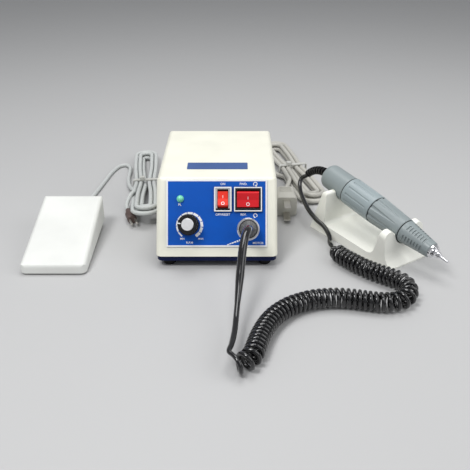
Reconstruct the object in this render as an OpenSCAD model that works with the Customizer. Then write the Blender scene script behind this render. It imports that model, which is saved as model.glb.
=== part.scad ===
// Bench micromotor set: a control box, a foot pedal, a handpiece lying in its cradle, and three cords.
// Millimetres. X runs to the user's right, Y away from the user and Z up from the bench.
// The origin lies on the bench, under the middle of the set without its cords.

/* [Control box] */
// Middle of the control box on the bench, X
box_x = -12.5; // [-20:0.5:0]
// Middle of the control box on the bench, Y
box_y = 10.5; // [0:0.5:20]
// Width of the housing at its lower edge
box_w = 103.5; // [96:0.5:120]
// Depth of the housing at its lower edge
box_d = 155; // [145:1:180]
// Height of the box over the bench
box_h = 70; // [66:0.5:80]
// How much each side leans in by the top
side_draft = 0.5; // [0.4:0.1:2.5]
// Wall thickness of the housing
box_wall = 2.5; // [1.8:0.1:3]
// Rounding of the side edges
edge_r = 5; // [4:0.5:7]
// Rounding of the front shoulder
shoulder_r = 4.5; // [4:0.5:9]
// Rounding of the rear top edge
rear_edge_r = 4; // [3.5:0.5:7]
// How far the front leans back
front_tilt = 28; // [24:0.5:32]
// Thickness of the base tray
base_t = 4.5; // [3:0.5:6]
// How far the base tray stays inside the housing
base_inset = 1; // [0.5:0.25:2]
// Height of the rubber feet
foot_h = 6.5; // [5:0.5:8]
// Radius of a rubber foot
foot_r = 6; // [5:0.5:8]
// Distance of the feet from the middle, to the side
foot_x = 41; // [36:0.5:42]
// Distance of the feet from the middle, front and back
foot_y = 66.5; // [58:0.5:68]
// Radius of the case screws
screw_r = 1.5; // [1.2:0.1:2]
// Case screws, in from the sides of the housing
screw_side = 6.75; // [6.25:0.25:7.25]
// Front case screws, behind the lower front edge
screw_front = 26; // [24:0.5:32]
// Rear case screws, ahead of the rear wall
screw_back = 26; // [20:0.5:32]

/* [Front panel] */
// Width of the printed front panel
panel_w = 85; // [82:0.5:90]
// Height of the printed front panel
panel_h = 56.6; // [55:0.2:58]
// Thickness of the front panel
panel_t = 1; // [0.6:0.1:1.5]
// Share of the sloping front below the panel's middle
panel_share = 0.463; // [0.44:0.001:0.48]
// Width of the top label
label_w = 53; // [40:1:70]
// Depth of the top label
label_d = 14.5; // [8:0.5:18]
// Middle of the top label, ahead of the box's middle
label_front = 20; // [10:0.5:22]
// Height of both switch frames
frame_h = 21; // [20:0.5:22]
// Width of the power switch frame
power_frame_w = 15; // [14:0.5:16]
// Width of the power rocker
power_rocker_w = 8.7; // [7:0.1:9]
// Width of the direction switch frame
turn_frame_w = 24; // [22:0.5:25]
// Width of the direction rocker
turn_rocker_w = 18.5; // [15:0.5:19.5]
// How far each rocker tips to either side
rocker_tip = 9; // [6:0.5:11]
// Place of the power switch on the panel, sideways
power_a = 5.2; // [4:0.1:6]
// Place of the direction switch on the panel, sideways
turn_a = 26.4; // [26.2:0.1:28]
// Place of both switches above the panel's middle
switch_b = 11.8; // [11:0.1:13]
// Radius of the pilot lamp
lamp_r = 3; // [2:0.1:4]
// Place of the pilot lamp, sideways
lamp_a = -30.8; // [-34:0.1:-28]
// Place of the pilot lamp above the panel's middle
lamp_b = 12.2; // [10:0.1:16]
// Radius of the speed knob
knob_r = 9; // [7.5:0.1:9.5]
// Height of the speed knob
knob_h = 12.5; // [10:0.5:16]
// Radius of the knob's bright cap
cap_r = 5.1; // [4:0.1:6]
// Number of finger flutes round the knob
knob_flutes = 16; // [10:1:24]
// Place of the knob, sideways
knob_a = -23.9; // [-25:0.1:-21]
// Place of the knob below the panel's middle
knob_b = -9.7; // [-12:0.1:-9]
// Radius of the motor socket's bright ring
socket_r = 9.6; // [9:0.1:11]
// Radius of the motor plug
plug_r = 7.8; // [7:0.1:8.2]
// Place of the motor socket, sideways
socket_a = 26.6; // [24:0.1:28]
// Place of the motor socket below the panel's middle
socket_b = -13.4; // [-15:0.1:-12]

/* [Foot pedal] */
// Middle of the pedal on the bench, X
pedal_x = -149.4; // [-156:0.1:-140]
// Front edge of the pedal on the bench, Y
pedal_y = -79; // [-90:0.5:-70]
// Width of the pedal
pedal_w = 55.5; // [50:0.5:60]
// Length of the pedal
pedal_l = 95.5; // [92:0.5:105]
// Height of the treadle at its front
pedal_front_h = 10; // [9.8:0.1:12]
// Height of the treadle at its rear
pedal_rear_h = 31.5; // [28:0.5:36]
// Wall thickness of the treadle
pedal_wall = 2.2; // [1.6:0.1:2.2]
// Rounding of the treadle's edges
pedal_edge_r = 4; // [3:0.5:5]
// Travel of the treadle in degrees
pedal_travel = 3.5; // [2:0.5:3.5]
// Radius of the hinge pin
hinge_r = 1.3; // [1:0.1:1.5]
// Turns of the return spring
spring_turns = 6; // [4:1:8]
// Radius of the return spring at the middle of its wire
spring_r = 5; // [4:0.5:6]

/* [Cradle] */
// Middle of the cradle's rear edge on the bench, X
cradle_x = 94.3; // [92:0.1:100]
// Middle of the cradle's rear edge on the bench, Y
cradle_y = 23.5; // [15:0.5:30]
// Turn of the cradle on the bench
cradle_yaw = -55.1; // [-58:0.1:-52]
// Length of the cradle
cradle_l = 102; // [101:0.5:106]
// Width of the cradle
cradle_w = 47; // [45:0.5:49]
// Height of the rear prongs
rear_prong_h = 42; // [40:0.5:45]
// Height of the front prongs
front_prong_h = 34.5; // [32:0.5:37]
// Wall thickness of the cradle
cradle_wall = 2.5; // [2:0.1:3]
// Room round the handpiece in its cradle
rest_gap = 0.35; // [0.25:0.05:0.6]

/* [Handpiece] */
// Slope of the handpiece, nose down
hand_slope = 10.4; // [8:0.1:12]
// Rear end of the handpiece behind the cradle's rear edge
hand_back = 4.5; // [3:0.1:6]
// Height of the handpiece's axis at its rear end
hand_z = 46.8; // [46:0.1:50]
// Length of the rear cap
cap_l = 31; // [30:0.5:34]
// Radius of the rear cap
cap_shell_r = 12.2; // [11.8:0.1:12.6]
// Length of the motor sleeve
sleeve_l = 33.5; // [32:0.5:35]
// Radius of the motor sleeve
sleeve_r = 13; // [12.8:0.1:14]
// Length of the chuck ring
ring_l = 34; // [33:0.5:36]
// Radius of the chuck ring at its front
ring_front_r = 10.7; // [10.4:0.1:11]
// Number of long flutes on the chuck ring
ring_flutes = 10; // [6:1:14]
// Length of the nose cone
nose_l = 30; // [29:0.5:34]
// Radius of the nose cone at its rear
nose_r = 10.4; // [10.2:0.1:10.6]
// Radius of the nose cone at its front
tip_r = 7; // [6.6:0.1:7.6]
// Number of grip rings on the nose cone
grip_rings = 7; // [3:1:8]
// Radius of the bur's shank
bur_r = 1.175; // [0.8:0.025:1.2]
// Length of the bur in front of the nose ring
bur_out = 13; // [10:0.5:30]
// Travel of the chuck ring in degrees
ring_turn = 60; // [30:5:90]

/* [Cords] */
// Diameter of the curly cord's wire
curl_d = 3.2; // [2.8:0.1:3.2]
// Radius of a curl at the middle of the wire
curl_r = 6.3; // [5.8:0.1:6.5]
// Distance from curl to curl where the curly cord runs straight
curl_pitch = 3.95; // [3.95:0.05:5]
// Diameter of the straight motor lead
lead_d = 4.4; // [3.8:0.1:4.6]
// Diameter of the sleeve at the motor plug
boot_d = 6.8; // [5:0.1:7]
// Diameter of the pedal cord
pedal_cord_d = 4.2; // [3.6:0.1:4.2]
// Diameter of the mains cord
mains_cord_d = 4.8; // [4:0.1:4.8]
// Number of loops in the pedal cord's hank, an even number
pedal_loops = 4; // [2:2:6]
// Number of loops in the mains cord's hank, an even number
mains_loops = 4; // [2:2:6]
// Length of the pedal cord's hank
pedal_hank_l = 188; // [170:1:195]
// Length of the mains cord's hank
mains_hank_l = 168; // [150:1:175]

/* [Fits] */
// Room between faces that pass each other
move_gap = 0.3; // [0.2:0.05:0.5]
// Room in a running fit, on the radius
run_gap = 0.05; // [0.02:0.01:0.1]
// Room between pieces that are set together
set_gap = 0.03; // [0.02:0.01:0.08]

/* [Hidden] */
$fn = 64;

// Heights in the control box
base_top = foot_h + base_t;
slope_l = (box_h - base_top) / cos(front_tilt);
draft_turn = atan(side_draft / slope_l);
panel_up = panel_share * box_h / cos(front_tilt);
box_hollow = 1;

// Switches: a rocker swings in a well inside its frame
rocker_reach = 7.4;
rocker_end_h = 4.4;
rocker_floor = 2;
rocker_mid_h = rocker_end_h - sqrt(pow(rocker_reach, 2) - pow(rocker_end_h, 2)) * tan(rocker_tip);
pivot_c = panel_t - 2;
trunnion_r = 1.5;
trunnion_l = 1.2;
frame_lip = 1.2;
frame_t = 2;
frame_deep = 15;

// Speed control, from the rear of the front wall to the top of the knob
pot_r = 11.5;
pot_h = 9.5;
bush_r = 4.4;
bush_h = 3.4;
shaft_r = 3;
shaft_end = 2;
knob_skirt = 0.5;
knob_recess = bush_h + 0.6;
knob_cap_t = 1;

// Motor socket and plug
socket_body_r = 8;
socket_deep = 12;
socket_ring_t = 2.4;
socket_bore_r = 6.4;
plug_nose_l = 8;
plug_l = 9.5;
plug_taper = 3;
boot_l = 6;

// Rear of the box
rear_z = 30;
fuse_x = -28;
fuse_r = 6;
gland_end_r = mains_cord_d / 2 + 1.2;
pedal_socket_x = -2;
pedal_socket_r = 7;
gland_x = 28;
gland_r = 5;
gland_out = 9;

// Foot pedal, from its front edge
pad_t = 1.2;
floor_t = 2.2;
floor_top = pad_t + floor_t;
skirt_front = 1.5;
base_gap = 0.8;
treadle_slope = atan((pedal_rear_h - pedal_front_h) / pedal_l);
skirt_rise = tan(pedal_travel) + 0.005;
hinge_y = 8;
hinge_z = floor_top + 3.2;
knuckle_r = hinge_r + 1.3;
knuckle_w = 5;
spring_y = 66;
spring_wire = 1.2;
spring_seat = 17.5;
switch_y = 40;
switch_size = [20, 7, 8];
plunger_r = 1.2;
plunger_top = floor_top + switch_size[2] + 2.4;
pedal_cord_z = 8;
pedal_gland_r = 3.4;
pedal_gland_l = 12;

// Handpiece stations along its axis, from the rear end
seam = 0.7;
sleeve_s = cap_l + seam;
ring_s = sleeve_s + sleeve_l + seam;
nose_s = ring_s + ring_l + seam;
nose_end = nose_s + nose_l;
nose_ring_l = 3.4;
collet_s = nose_end + nose_ring_l + move_gap;
collet_l = 5;
shell_bore = 10.2;
can_r = shell_bore - set_gap;
can_t = 1;
can_s = 6;
sleeve_web = 3;
can_end = ring_s - seam - sleeve_web - set_gap;
plate_t = 5;
magnet_t = 1.9;
magnet_r = can_r - can_t - set_gap;
rotor_r = magnet_r - magnet_t - 0.4;
rotor_s = 17;
rotor_l = 26;
motor_shaft_r = 1.5;
bearing_r = 4.5;
bearing_l = 3.5;
commutator_r = 3.2;
commutator_s = rotor_s + rotor_l + 1;
commutator_l = 8;
neck_r = 8.2;
ring_rear_r = sleeve_r - 0.3;
spindle_r = 3;
spindle_bearing_r = 5.6;
spindle_bearing_l = 5;
spindle_rear = ring_s + 8;
coupling_r = 3.6;
relief_r = 3;
relief_bend = 32;
relief_turn = 56;
relief_rings = 9;

// Cord details
tie_t = 1.2;
tie_w = 4;
tie_room = 0.3;
hank_lift = 12;
ring_sides = 6;
lead_sides = 8;
curl_steps = 8;
loop_steps = 24;

// Corners with arcs

// Points of the arc that rounds corner b of the path a, b, c with radius r
function corner_arc(a, b, c, r, steps = 8) =
    r <= 0 ? [b] :
    let (
        u = (a - b) / norm(a - b),
        v = (c - b) / norm(c - b),
        half = acos(u * v) / 2,
        middle = b + (u + v) / norm(u + v) * r / sin(half),
        first = b + u * r / tan(half) - middle,
        last = b + v * r / tan(half) - middle,
        sweep = 180 - 2 * half
    )
    [for (i = [0:steps])
        middle + (sin((1 - i / steps) * sweep) * first + sin(i / steps * sweep) * last) / sin(sweep)];

// Closed outline with each corner rounded by its own radius
function rounded_outline(points, radii) =
    let (n = len(points))
    [for (i = [0:n - 1]) each corner_arc(points[(i + n - 1) % n], points[i], points[(i + 1) % n], radii[i])];

module rounded_plate(size, r, h) {
    linear_extrude(h)
        polygon(rounded_outline(
            [[-size[0], -size[1]] / 2, [size[0], -size[1]] / 2,
             [size[0], size[1]] / 2, [-size[0], size[1]] / 2],
            [r, r, r, r]));
}

module tube(r, bore, h) {
    difference() {
        cylinder(r = r, h = h);
        translate([0, 0, -1]) cylinder(r = bore, h = h + 2);
    }
}

// Profile in the Y and Z plane, drawn out along X
module along_x(width) {
    translate([-width / 2, 0, 0]) rotate([90, 0, 90]) linear_extrude(width) children();
}

// Frames of the four sub-assemblies
module in_box() {
    translate([box_x, box_y, 0]) children();
}

// Local X runs to the right, Y up the slope and Z out of the panel
module on_panel(a = 0, b = 0, c = 0) {
    in_box() translate([0, -box_d / 2, base_top]) rotate([90 - front_tilt, 0, 0])
        translate([a, panel_up + b, c]) children();
}

function panel_point(a, b, c) =
    let (up = panel_up + b)
    [box_x + a,
     box_y - box_d / 2 + up * sin(front_tilt) - c * cos(front_tilt),
     base_top + up * cos(front_tilt) + c * sin(front_tilt)];

module in_pedal() {
    translate([pedal_x, pedal_y, 0]) children();
}

// Local X runs from the cradle's rear to its front
module in_cradle() {
    translate([cradle_x, cradle_y, 0]) rotate([0, 0, cradle_yaw]) children();
}

function cradle_point(along, across, z) =
    [cradle_x + along * cos(cradle_yaw) - across * sin(cradle_yaw),
     cradle_y + along * sin(cradle_yaw) + across * cos(cradle_yaw),
     z];

// Local Z runs along the handpiece from its rear end to the nose
module in_hand(s = 0) {
    in_cradle() translate([-hand_back, 0, hand_z]) rotate([0, 90 + hand_slope, 0])
        translate([0, 0, s]) children();
}

// Swept tubes

function unit(v) = v / norm(v);

function tangent(path, i) = unit(path[min(i + 1, len(path) - 1)] - path[max(i - 1, 0)]);

// Ring points of a tube along path, with a radius and a side direction for each ring
function tube_points(path, radii, sideways, sides) =
    [for (i = [0:len(path) - 1])
        let (
            ahead = tangent(path, i),
            across = unit(sideways[i] - ahead * (sideways[i] * ahead)),
            over = cross(ahead, across)
        )
        for (k = [0:sides - 1])
            path[i] + radii[i] * (cos(360 * k / sides) * across + sin(360 * k / sides) * over)];

function tube_faces(rings, sides) = concat(
    [for (k = [1:sides - 2]) [0, k, k + 1]],
    [for (i = [0:rings - 2], k = [0:sides - 1])
        let (a = i * sides + k, b = i * sides + (k + 1) % sides)
        each [[a, a + sides, b], [b, a + sides, b + sides]]],
    [for (k = [1:sides - 2]) let (e = (rings - 1) * sides) [e, e + k + 1, e + k]]
);

module swept_tube(path, radii, sideways, sides) {
    polyhedron(tube_points(path, radii, sideways, sides), tube_faces(len(path), sides), convexity = 10);
}

// A plain cord of one diameter along hand-placed points
module cord_tube(path, d) {
    ahead = [for (i = [0:len(path) - 1]) tangent(path, i)];
    swept_tube(path, [for (p = path) d / 2], [for (t = ahead) cross(t, [0, 0, 1])], lead_sides);
}

// Smallest room between stretches of one tube that lie more than apart rings away from each other
function self_gap(path, d, apart) =
    min([for (i = [0:len(path) - 1]) for (j = [i + apart:1:len(path) - 1]) norm(path[i] - path[j])]) - d;

// Control box

function front_y(z, inset) = -box_d / 2 + inset / cos(front_tilt) + (z - base_top) * tan(front_tilt);

module side_profile(inset, low) {
    top = box_h - inset;
    rear = box_d / 2 - inset;
    polygon(rounded_outline(
        [[front_y(low, inset), low], [front_y(top, inset), top], [rear, top], [rear, low]],
        [0, shoulder_r - inset, rear_edge_r - inset, 0]));
}

// One side wall with its rounded edges to the sloping front, to the top and to the rear
module side_form(inset, low) {
    half = box_w / 2 - inset;
    rear = box_d / 2 - inset;
    top = box_h - inset;
    r = edge_r - inset;
    far = box_d + box_h;
    intersection() {
        translate([box_w / 2, -box_d / 2, base_top]) rotate([90 - front_tilt, 0, 0])
            rotate([0, 0, draft_turn]) rotate([90, 0, 0]) translate([0, 0, -far]) linear_extrude(2 * far)
                polygon(rounded_outline(
                    [[-inset, -inset], [-inset, -far], [-far, -far], [-far, -inset]], [r, 0, 0, 0]));
        translate([box_w / 2, 0, base_top]) rotate([0, -draft_turn, 0])
            translate([0, 0, -far]) linear_extrude(2 * far)
                polygon(rounded_outline(
                    [[-inset, rear], [-far, rear], [-far, -far], [-inset, -far]], [r, 0, 0, 0]));
        rotate([90, 0, 0]) translate([0, 0, -far]) linear_extrude(2 * far)
            polygon(rounded_outline(
                [[half, low], [half - side_draft, top], [-far, top], [-far, low]], [0, r, 0, 0]));
    }
}

module housing_form(inset, low) {
    intersection() {
        along_x(2 * box_w) side_profile(inset, low);
        side_form(inset, low);
        mirror([1, 0, 0]) side_form(inset, low);
    }
}

module switch_hole(frame_w) {
    narrower = 2 * (frame_lip - set_gap);
    cube([frame_w - narrower, frame_h - narrower, 4 * frame_deep], center = true);
}

// What passes through the front wall and the panel
module panel_holes() {
    long = 4 * frame_deep;
    on_panel(power_a, switch_b) switch_hole(power_frame_w);
    on_panel(turn_a, switch_b) switch_hole(turn_frame_w);
    on_panel(lamp_a, lamp_b) cylinder(r = lamp_r - 1 + set_gap, h = long, center = true);
    on_panel(knob_a, knob_b) cylinder(r = bush_r + set_gap, h = long, center = true);
    on_panel(socket_a, socket_b) cylinder(r = socket_body_r + set_gap, h = long, center = true);
}

// Places of the four case screws, in the box's own frame
screw_places = [
    for (side = [-1, 1], y = [-box_d / 2 + screw_front, box_d / 2 - screw_back])
        [side * (box_w / 2 - screw_side), y]];
boss_r = 5.3;
boss_h = 14;

module housing() {
    color("ivory") {
        difference() {
            in_box() housing_form(0, base_top);
            in_box() housing_form(box_wall, base_top - box_hollow);
            panel_holes();
            in_box() translate([0, box_d / 2 - box_wall / 2, rear_z]) rotate([90, 0, 0]) {
                for (hole = [[fuse_x, fuse_r], [pedal_socket_x, pedal_socket_r], [gland_x, gland_r]])
                    translate([hole[0], 0, 0]) cylinder(r = hole[1] + set_gap, h = 4 * box_wall, center = true);
            }
        }
        in_box() intersection() {
            housing_form(0, base_top);
            for (p = screw_places) translate([p[0], p[1], base_top]) tube(boss_r, screw_r + set_gap, boss_h);
        }
    }
}

module base_plate() {
    color("midnightblue") in_box() difference() {
        union() {
            translate([0, 0, foot_h])
                rounded_plate([box_w - 2 * base_inset, box_d - 2 * base_inset], edge_r, base_t);
            for (x = board_posts_x, y = board_posts_y)
                translate([x, y, base_top]) cylinder(r = post_r, h = board_z - base_top);
        }
        for (p = screw_places) {
            translate([p[0], p[1], foot_h - 1]) cylinder(r = screw_r + move_gap, h = base_t + 2);
            translate([p[0], p[1], foot_h - 1]) cylinder(r = screw_head_r + move_gap, h = screw_head_h + 1);
        }
        for (x = [-2:2], y = [-1, 1]) translate([x * vent_step, y * vent_l, foot_h + base_t / 2])
            cube([vent_w, vent_l, 2 * base_t], center = true);
    }
}
vent_step = 9;
vent_l = 24;
vent_w = 2.5;
screw_head_r = 3;
screw_head_h = 2;

module rubber_feet() {
    toe = 1;
    color("dimgray") in_box() for (x = [-foot_x, foot_x], y = [-foot_y, foot_y]) translate([x, y, 0])
        rotate_extrude() polygon([
            [foot_r / 3, 1], [foot_r / 2, 0], [foot_r - toe, 0], [foot_r - toe / 2, toe],
            [foot_r, foot_h], [0, foot_h], [0, 1]]);
}

module case_screws() {
    color("silver") in_box() for (p = screw_places) translate([p[0], p[1], foot_h]) difference() {
        union() {
            cylinder(r = screw_head_r, h = screw_head_h - set_gap);
            cylinder(r = screw_r, h = base_t + boss_h - 3);
        }
        for (turn = [0, 90]) rotate([0, 0, turn])
            cube([screw_head_r, screw_r / 2, screw_head_h], center = true);
    }
}

module front_panel() {
    color("royalblue") difference() {
        on_panel() rounded_plate([panel_w, panel_h], 1, panel_t);
        panel_holes();
    }
}

module top_label() {
    label_t = 0.5;
    color("steelblue") in_box() translate([0, -label_front, box_h])
        rounded_plate([label_w, label_d], 0.6, label_t);
}

// Frame of a rocker switch, with the well and the two bearings for its rocker
module rocker_frame(frame_w, rocker_w) {
    body = [frame_w - 2 * frame_lip, frame_h - 2 * frame_lip];
    well = [rocker_w + 2 * move_gap, 2 * (rocker_reach + move_gap)];
    well_floor = pivot_c - rocker_reach * sin(rocker_tip + asin(rocker_floor / rocker_reach)) - 2 * move_gap;
    difference() {
        union() {
            translate([0, 0, panel_t]) rounded_plate([frame_w, frame_h], 1, frame_t);
            translate([0, 0, panel_t - frame_deep]) rounded_plate(body, 0.5, frame_deep);
        }
        translate([-well[0] / 2, -well[1] / 2, well_floor]) cube([well[0], well[1], frame_deep]);
        translate([0, 0, pivot_c]) rotate([0, 90, 0])
            cylinder(r = trunnion_r + run_gap, h = rocker_w + 2 * trunnion_l + 2 * move_gap, center = true);
    }
}

// A rocker lies within the circle that its ends sweep about the pivot
module rocker(rocker_w, tip) {
    end_y = sqrt(pow(rocker_reach, 2) - pow(rocker_end_h, 2));
    end_turn = atan(rocker_end_h / end_y);
    low_turn = -asin(rocker_floor / rocker_reach);
    flank = [for (i = [0:5])
        let (turn = end_turn + (low_turn - end_turn) * i / 5) rocker_reach * [cos(turn), sin(turn)]];
    translate([0, 0, pivot_c]) rotate([tip, 0, 0]) {
        along_x(rocker_w)
            polygon(concat([[0, rocker_mid_h]], flank, [for (i = [5:-1:0]) [-flank[i][0], flank[i][1]]]));
        rotate([0, 90, 0]) cylinder(r = trunnion_r, h = rocker_w + 2 * trunnion_l, center = true);
    }
}

module power_switch_frame() {
    color("dimgray") on_panel(power_a, switch_b) rocker_frame(power_frame_w, power_rocker_w);
}

module power_rocker() {
    color("orangered") on_panel(power_a, switch_b) rocker(power_rocker_w, -rocker_tip);
}

module direction_switch_frame() {
    color("black") on_panel(turn_a, switch_b) rocker_frame(turn_frame_w, turn_rocker_w);
}

module direction_rocker() {
    color("firebrick") on_panel(turn_a, switch_b) rocker(turn_rocker_w, rocker_tip);
}

module pilot_lamp() {
    stem_r = lamp_r - 1;
    color("mediumseagreen") on_panel(lamp_a, lamp_b) {
        translate([0, 0, -6]) cylinder(r = stem_r, h = 6 + panel_t);
        translate([0, 0, panel_t]) cylinder(r = lamp_r, h = 0.8);
        intersection() {
            translate([0, 0, panel_t + 0.8]) sphere(r = lamp_r - 0.3);
            translate([0, 0, panel_t + 0.8]) cylinder(r = lamp_r, h = lamp_r);
        }
    }
}

module speed_potentiometer() {
    color("darkgray") on_panel(knob_a, knob_b) difference() {
        union() {
            translate([0, 0, -box_wall - pot_h]) cylinder(r = pot_r, h = pot_h);
            translate([0, 0, -box_wall - pot_h / 2])
                cylinder(r = bush_r, h = pot_h / 2 + box_wall + panel_t + bush_h);
            for (x = [-1:1]) translate([4 * x, -pot_r - 2, -box_wall - pot_h / 2])
                cube([2, 6, 1], center = true);
        }
        translate([0, 0, -box_wall - pot_h + shaft_end])
            cylinder(r = shaft_r + run_gap, h = 2 * pot_h + bush_h + knob_h);
    }
}

module knob_shaft() {
    low = -box_wall - pot_h + shaft_end + move_gap;
    color("silver") on_panel(knob_a, knob_b, low) cylinder(r = shaft_r, h = panel_t + knob_h - 3 - low);
}

// A plain skirt below and a fluted grip above, hollow over the bushing
module speed_knob() {
    skirt_h = 3;
    grip_r = knob_r - 0.7;
    color("black") on_panel(knob_a, knob_b, panel_t) difference() {
        union() {
            translate([0, 0, knob_skirt]) cylinder(r = knob_r, h = skirt_h - knob_skirt);
            translate([0, 0, skirt_h]) linear_extrude(knob_h - skirt_h) difference() {
                circle(r = grip_r);
                for (i = [0:knob_flutes - 1]) rotate([0, 0, 360 * (i + 0.5) / knob_flutes])
                    translate([grip_r + 0.5, 0]) circle(r = 1.1, $fn = 24);
            }
        }
        cylinder(r = bush_r + move_gap, h = knob_recess);
        cylinder(r = shaft_r + set_gap, h = knob_h - 3 + set_gap);
    }
}

module knob_cap() {
    color("silver") on_panel(knob_a, knob_b, panel_t + knob_h) rotate_extrude()
        polygon([[0, 0], [cap_r, 0], [cap_r, knob_cap_t - 0.3], [cap_r - 0.3, knob_cap_t], [0, knob_cap_t]]);
}

module motor_socket() {
    color("silver") on_panel(socket_a, socket_b, panel_t) difference() {
        union() {
            rotate_extrude() polygon([
                [0, 0], [socket_r, 0], [socket_r, socket_ring_t - 0.6],
                [socket_r - 0.6, socket_ring_t], [0, socket_ring_t]]);
            translate([0, 0, -socket_deep]) cylinder(r = socket_body_r, h = socket_deep);
        }
        translate([0, 0, socket_ring_t - plug_nose_l - move_gap])
            cylinder(r = socket_bore_r, h = 2 * plug_nose_l);
    }
}

// Laminated core with its two windows, and the winding round the middle leg
core_size = [48, 24, 40];
core_leg = 8;
core_y = 38;
winding_out = 7;

module transformer_core() {
    window = [(core_size[0] - 4 * core_leg) / 2, core_size[2] - 2 * core_leg];
    color("slategray") in_box() translate([0, core_y, base_top + core_size[2] / 2]) difference() {
        cube(core_size, center = true);
        for (side = [-1, 1]) translate([side * (core_leg + window[0] / 2), 0, 0])
            cube([window[0], 2 * core_size[1], window[1]], center = true);
    }
}

module transformer_coil() {
    room = set_gap;
    window_w = (core_size[0] - 4 * core_leg) / 2;
    coil_h = core_size[2] - 2 * core_leg - 2 * room;
    color("goldenrod") in_box() translate([0, core_y, base_top + core_size[2] / 2]) difference() {
        cube([2 * (core_leg + window_w - room), core_size[1] + 2 * winding_out, coil_h], center = true);
        cube([2 * (core_leg + room), core_size[1] + 2 * room, 2 * coil_h], center = true);
    }
}

board_size = [76, 34, 1.6];
board_y = -9;
board_z = 19;
post_r = 3;
board_posts_x = [-32, 32];
board_posts_y = [board_y - 12, board_y + 12];

module circuit_board() {
    top = board_z + board_size[2];
    color("darkgreen") in_box() {
        translate([-board_size[0] / 2, board_y - board_size[1] / 2, board_z]) cube(board_size);
        translate([-20, board_y, top]) cylinder(r = 6, h = 16);
        translate([-4, board_y + 4, top]) cylinder(r = 4, h = 11);
        for (i = [0:4]) translate([10 + 4 * i, board_y - 10, top]) cube([1.2, 18, 14]);
        translate([10, board_y - 10, top]) cube([17.2, 18, 2]);
    }
}

// Fittings in the rear wall, each drawn out of the box along its own Z
module on_rear(x) {
    in_box() translate([x, box_d / 2, rear_z]) rotate([-90, 0, 0]) children();
}

module fuse_holder() {
    flange_t = 1.6;
    color("black") on_rear(fuse_x) {
        translate([0, 0, -3 * fuse_r]) cylinder(r = fuse_r, h = 3 * fuse_r);
        cylinder(r = fuse_r + 2, h = flange_t);
        difference() {
            translate([0, 0, flange_t]) cylinder(r = fuse_r, h = 5);
            translate([0, 0, flange_t + 5]) cube([2 * fuse_r + 1, 1.2, 2.4], center = true);
        }
    }
}

module pedal_socket() {
    flange_t = 2;
    color("dimgray") on_rear(pedal_socket_x) difference() {
        union() {
            translate([0, 0, -pedal_socket_r]) cylinder(r = pedal_socket_r, h = pedal_socket_r);
            cylinder(r = pedal_socket_r + 2, h = flange_t);
        }
        for (side = [-1, 1]) translate([3 * side, 0, -4]) cylinder(r = 1.2, h = 4 + 2 * flange_t);
    }
}

module mains_gland() {
    flange_t = 2.5;
    color("black") on_rear(gland_x) {
        translate([0, 0, -gland_r]) cylinder(r = gland_r, h = gland_r);
        cylinder(r = gland_r + 2, h = flange_t);
        translate([0, 0, flange_t]) cylinder(r1 = gland_r, r2 = gland_end_r, h = gland_out - flange_t);
    }
}

// Foot pedal, with its length along Y from the front edge

function treadle_top(y, inset) = pedal_front_h + y * tan(treadle_slope) - inset / cos(treadle_slope);

module treadle_form(inset, drop) {
    r = pedal_edge_r - inset;
    rear = pedal_l - inset;
    low = skirt_front - drop;
    low_rear = low + pedal_l * skirt_rise;
    far = 2 * pedal_l;
    half = pedal_w / 2 - inset;
    intersection() {
        along_x(2 * pedal_w) polygon(rounded_outline(
            [[inset, low], [inset, treadle_top(inset, inset)],
             [rear, treadle_top(rear, inset)], [rear, low_rear]],
            [0, r, r, 0]));
        translate([0, pedal_l / 2, -far])
            rounded_plate([pedal_w - 2 * inset, pedal_l - 2 * inset], pedal_edge_r + 1 - inset, 2 * far);
        translate([0, 0, pedal_front_h]) rotate([treadle_slope, 0, 0])
            rotate([90, 0, 0]) translate([0, 0, -far])
            linear_extrude(2 * far) polygon(rounded_outline(
                [[-half, -far], [-half, -inset], [half, -inset], [half, -far]], [0, r, r, 0]));
    }
}

module hinge_axis(x) {
    translate([x, hinge_y, hinge_z]) rotate([0, 90, 0]) children();
}

module pedal_treadle() {
    color("whitesmoke") in_pedal() difference() {
        union() {
            difference() {
                treadle_form(0, 0);
                treadle_form(pedal_wall, 2);
            }
            intersection() {
                treadle_form(0, 0);
                union() {
                    for (side = [-1, 1]) {
                        hinge_axis(knuckle_x * side) cylinder(r = knuckle_r, h = knuckle_w, center = true);
                        translate([knuckle_x * side, hinge_y, hinge_z + pedal_front_h / 2])
                            cube([knuckle_w, 2 * knuckle_r - 1, pedal_front_h], center = true);
                    }
                    translate([0, spring_y, spring_seat]) cylinder(r = spring_r + 2, h = pedal_rear_h);
                    translate([-3, switch_y - 2, plunger_top + move_gap]) cube([6, 4, pedal_rear_h]);
                }
            }
        }
        for (side = [-1, 1])
            hinge_axis(knuckle_x * side) cylinder(r = hinge_r + run_gap, h = knuckle_w + 1, center = true);
        cord_door();
    }
}
knuckle_x = 12;
lug_x = 18;

// Room in the treadle's rear skirt for the cord and its gland, over the whole travel
module cord_door() {
    drop = (pedal_l - hinge_y) * tan(pedal_travel);
    half = pedal_gland_r + 1;
    translate([-half, pedal_l - 3 * pedal_wall, 0])
        cube([2 * half, 6 * pedal_wall, pedal_cord_z + pedal_gland_r + drop + 4 * move_gap]);
}

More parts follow.
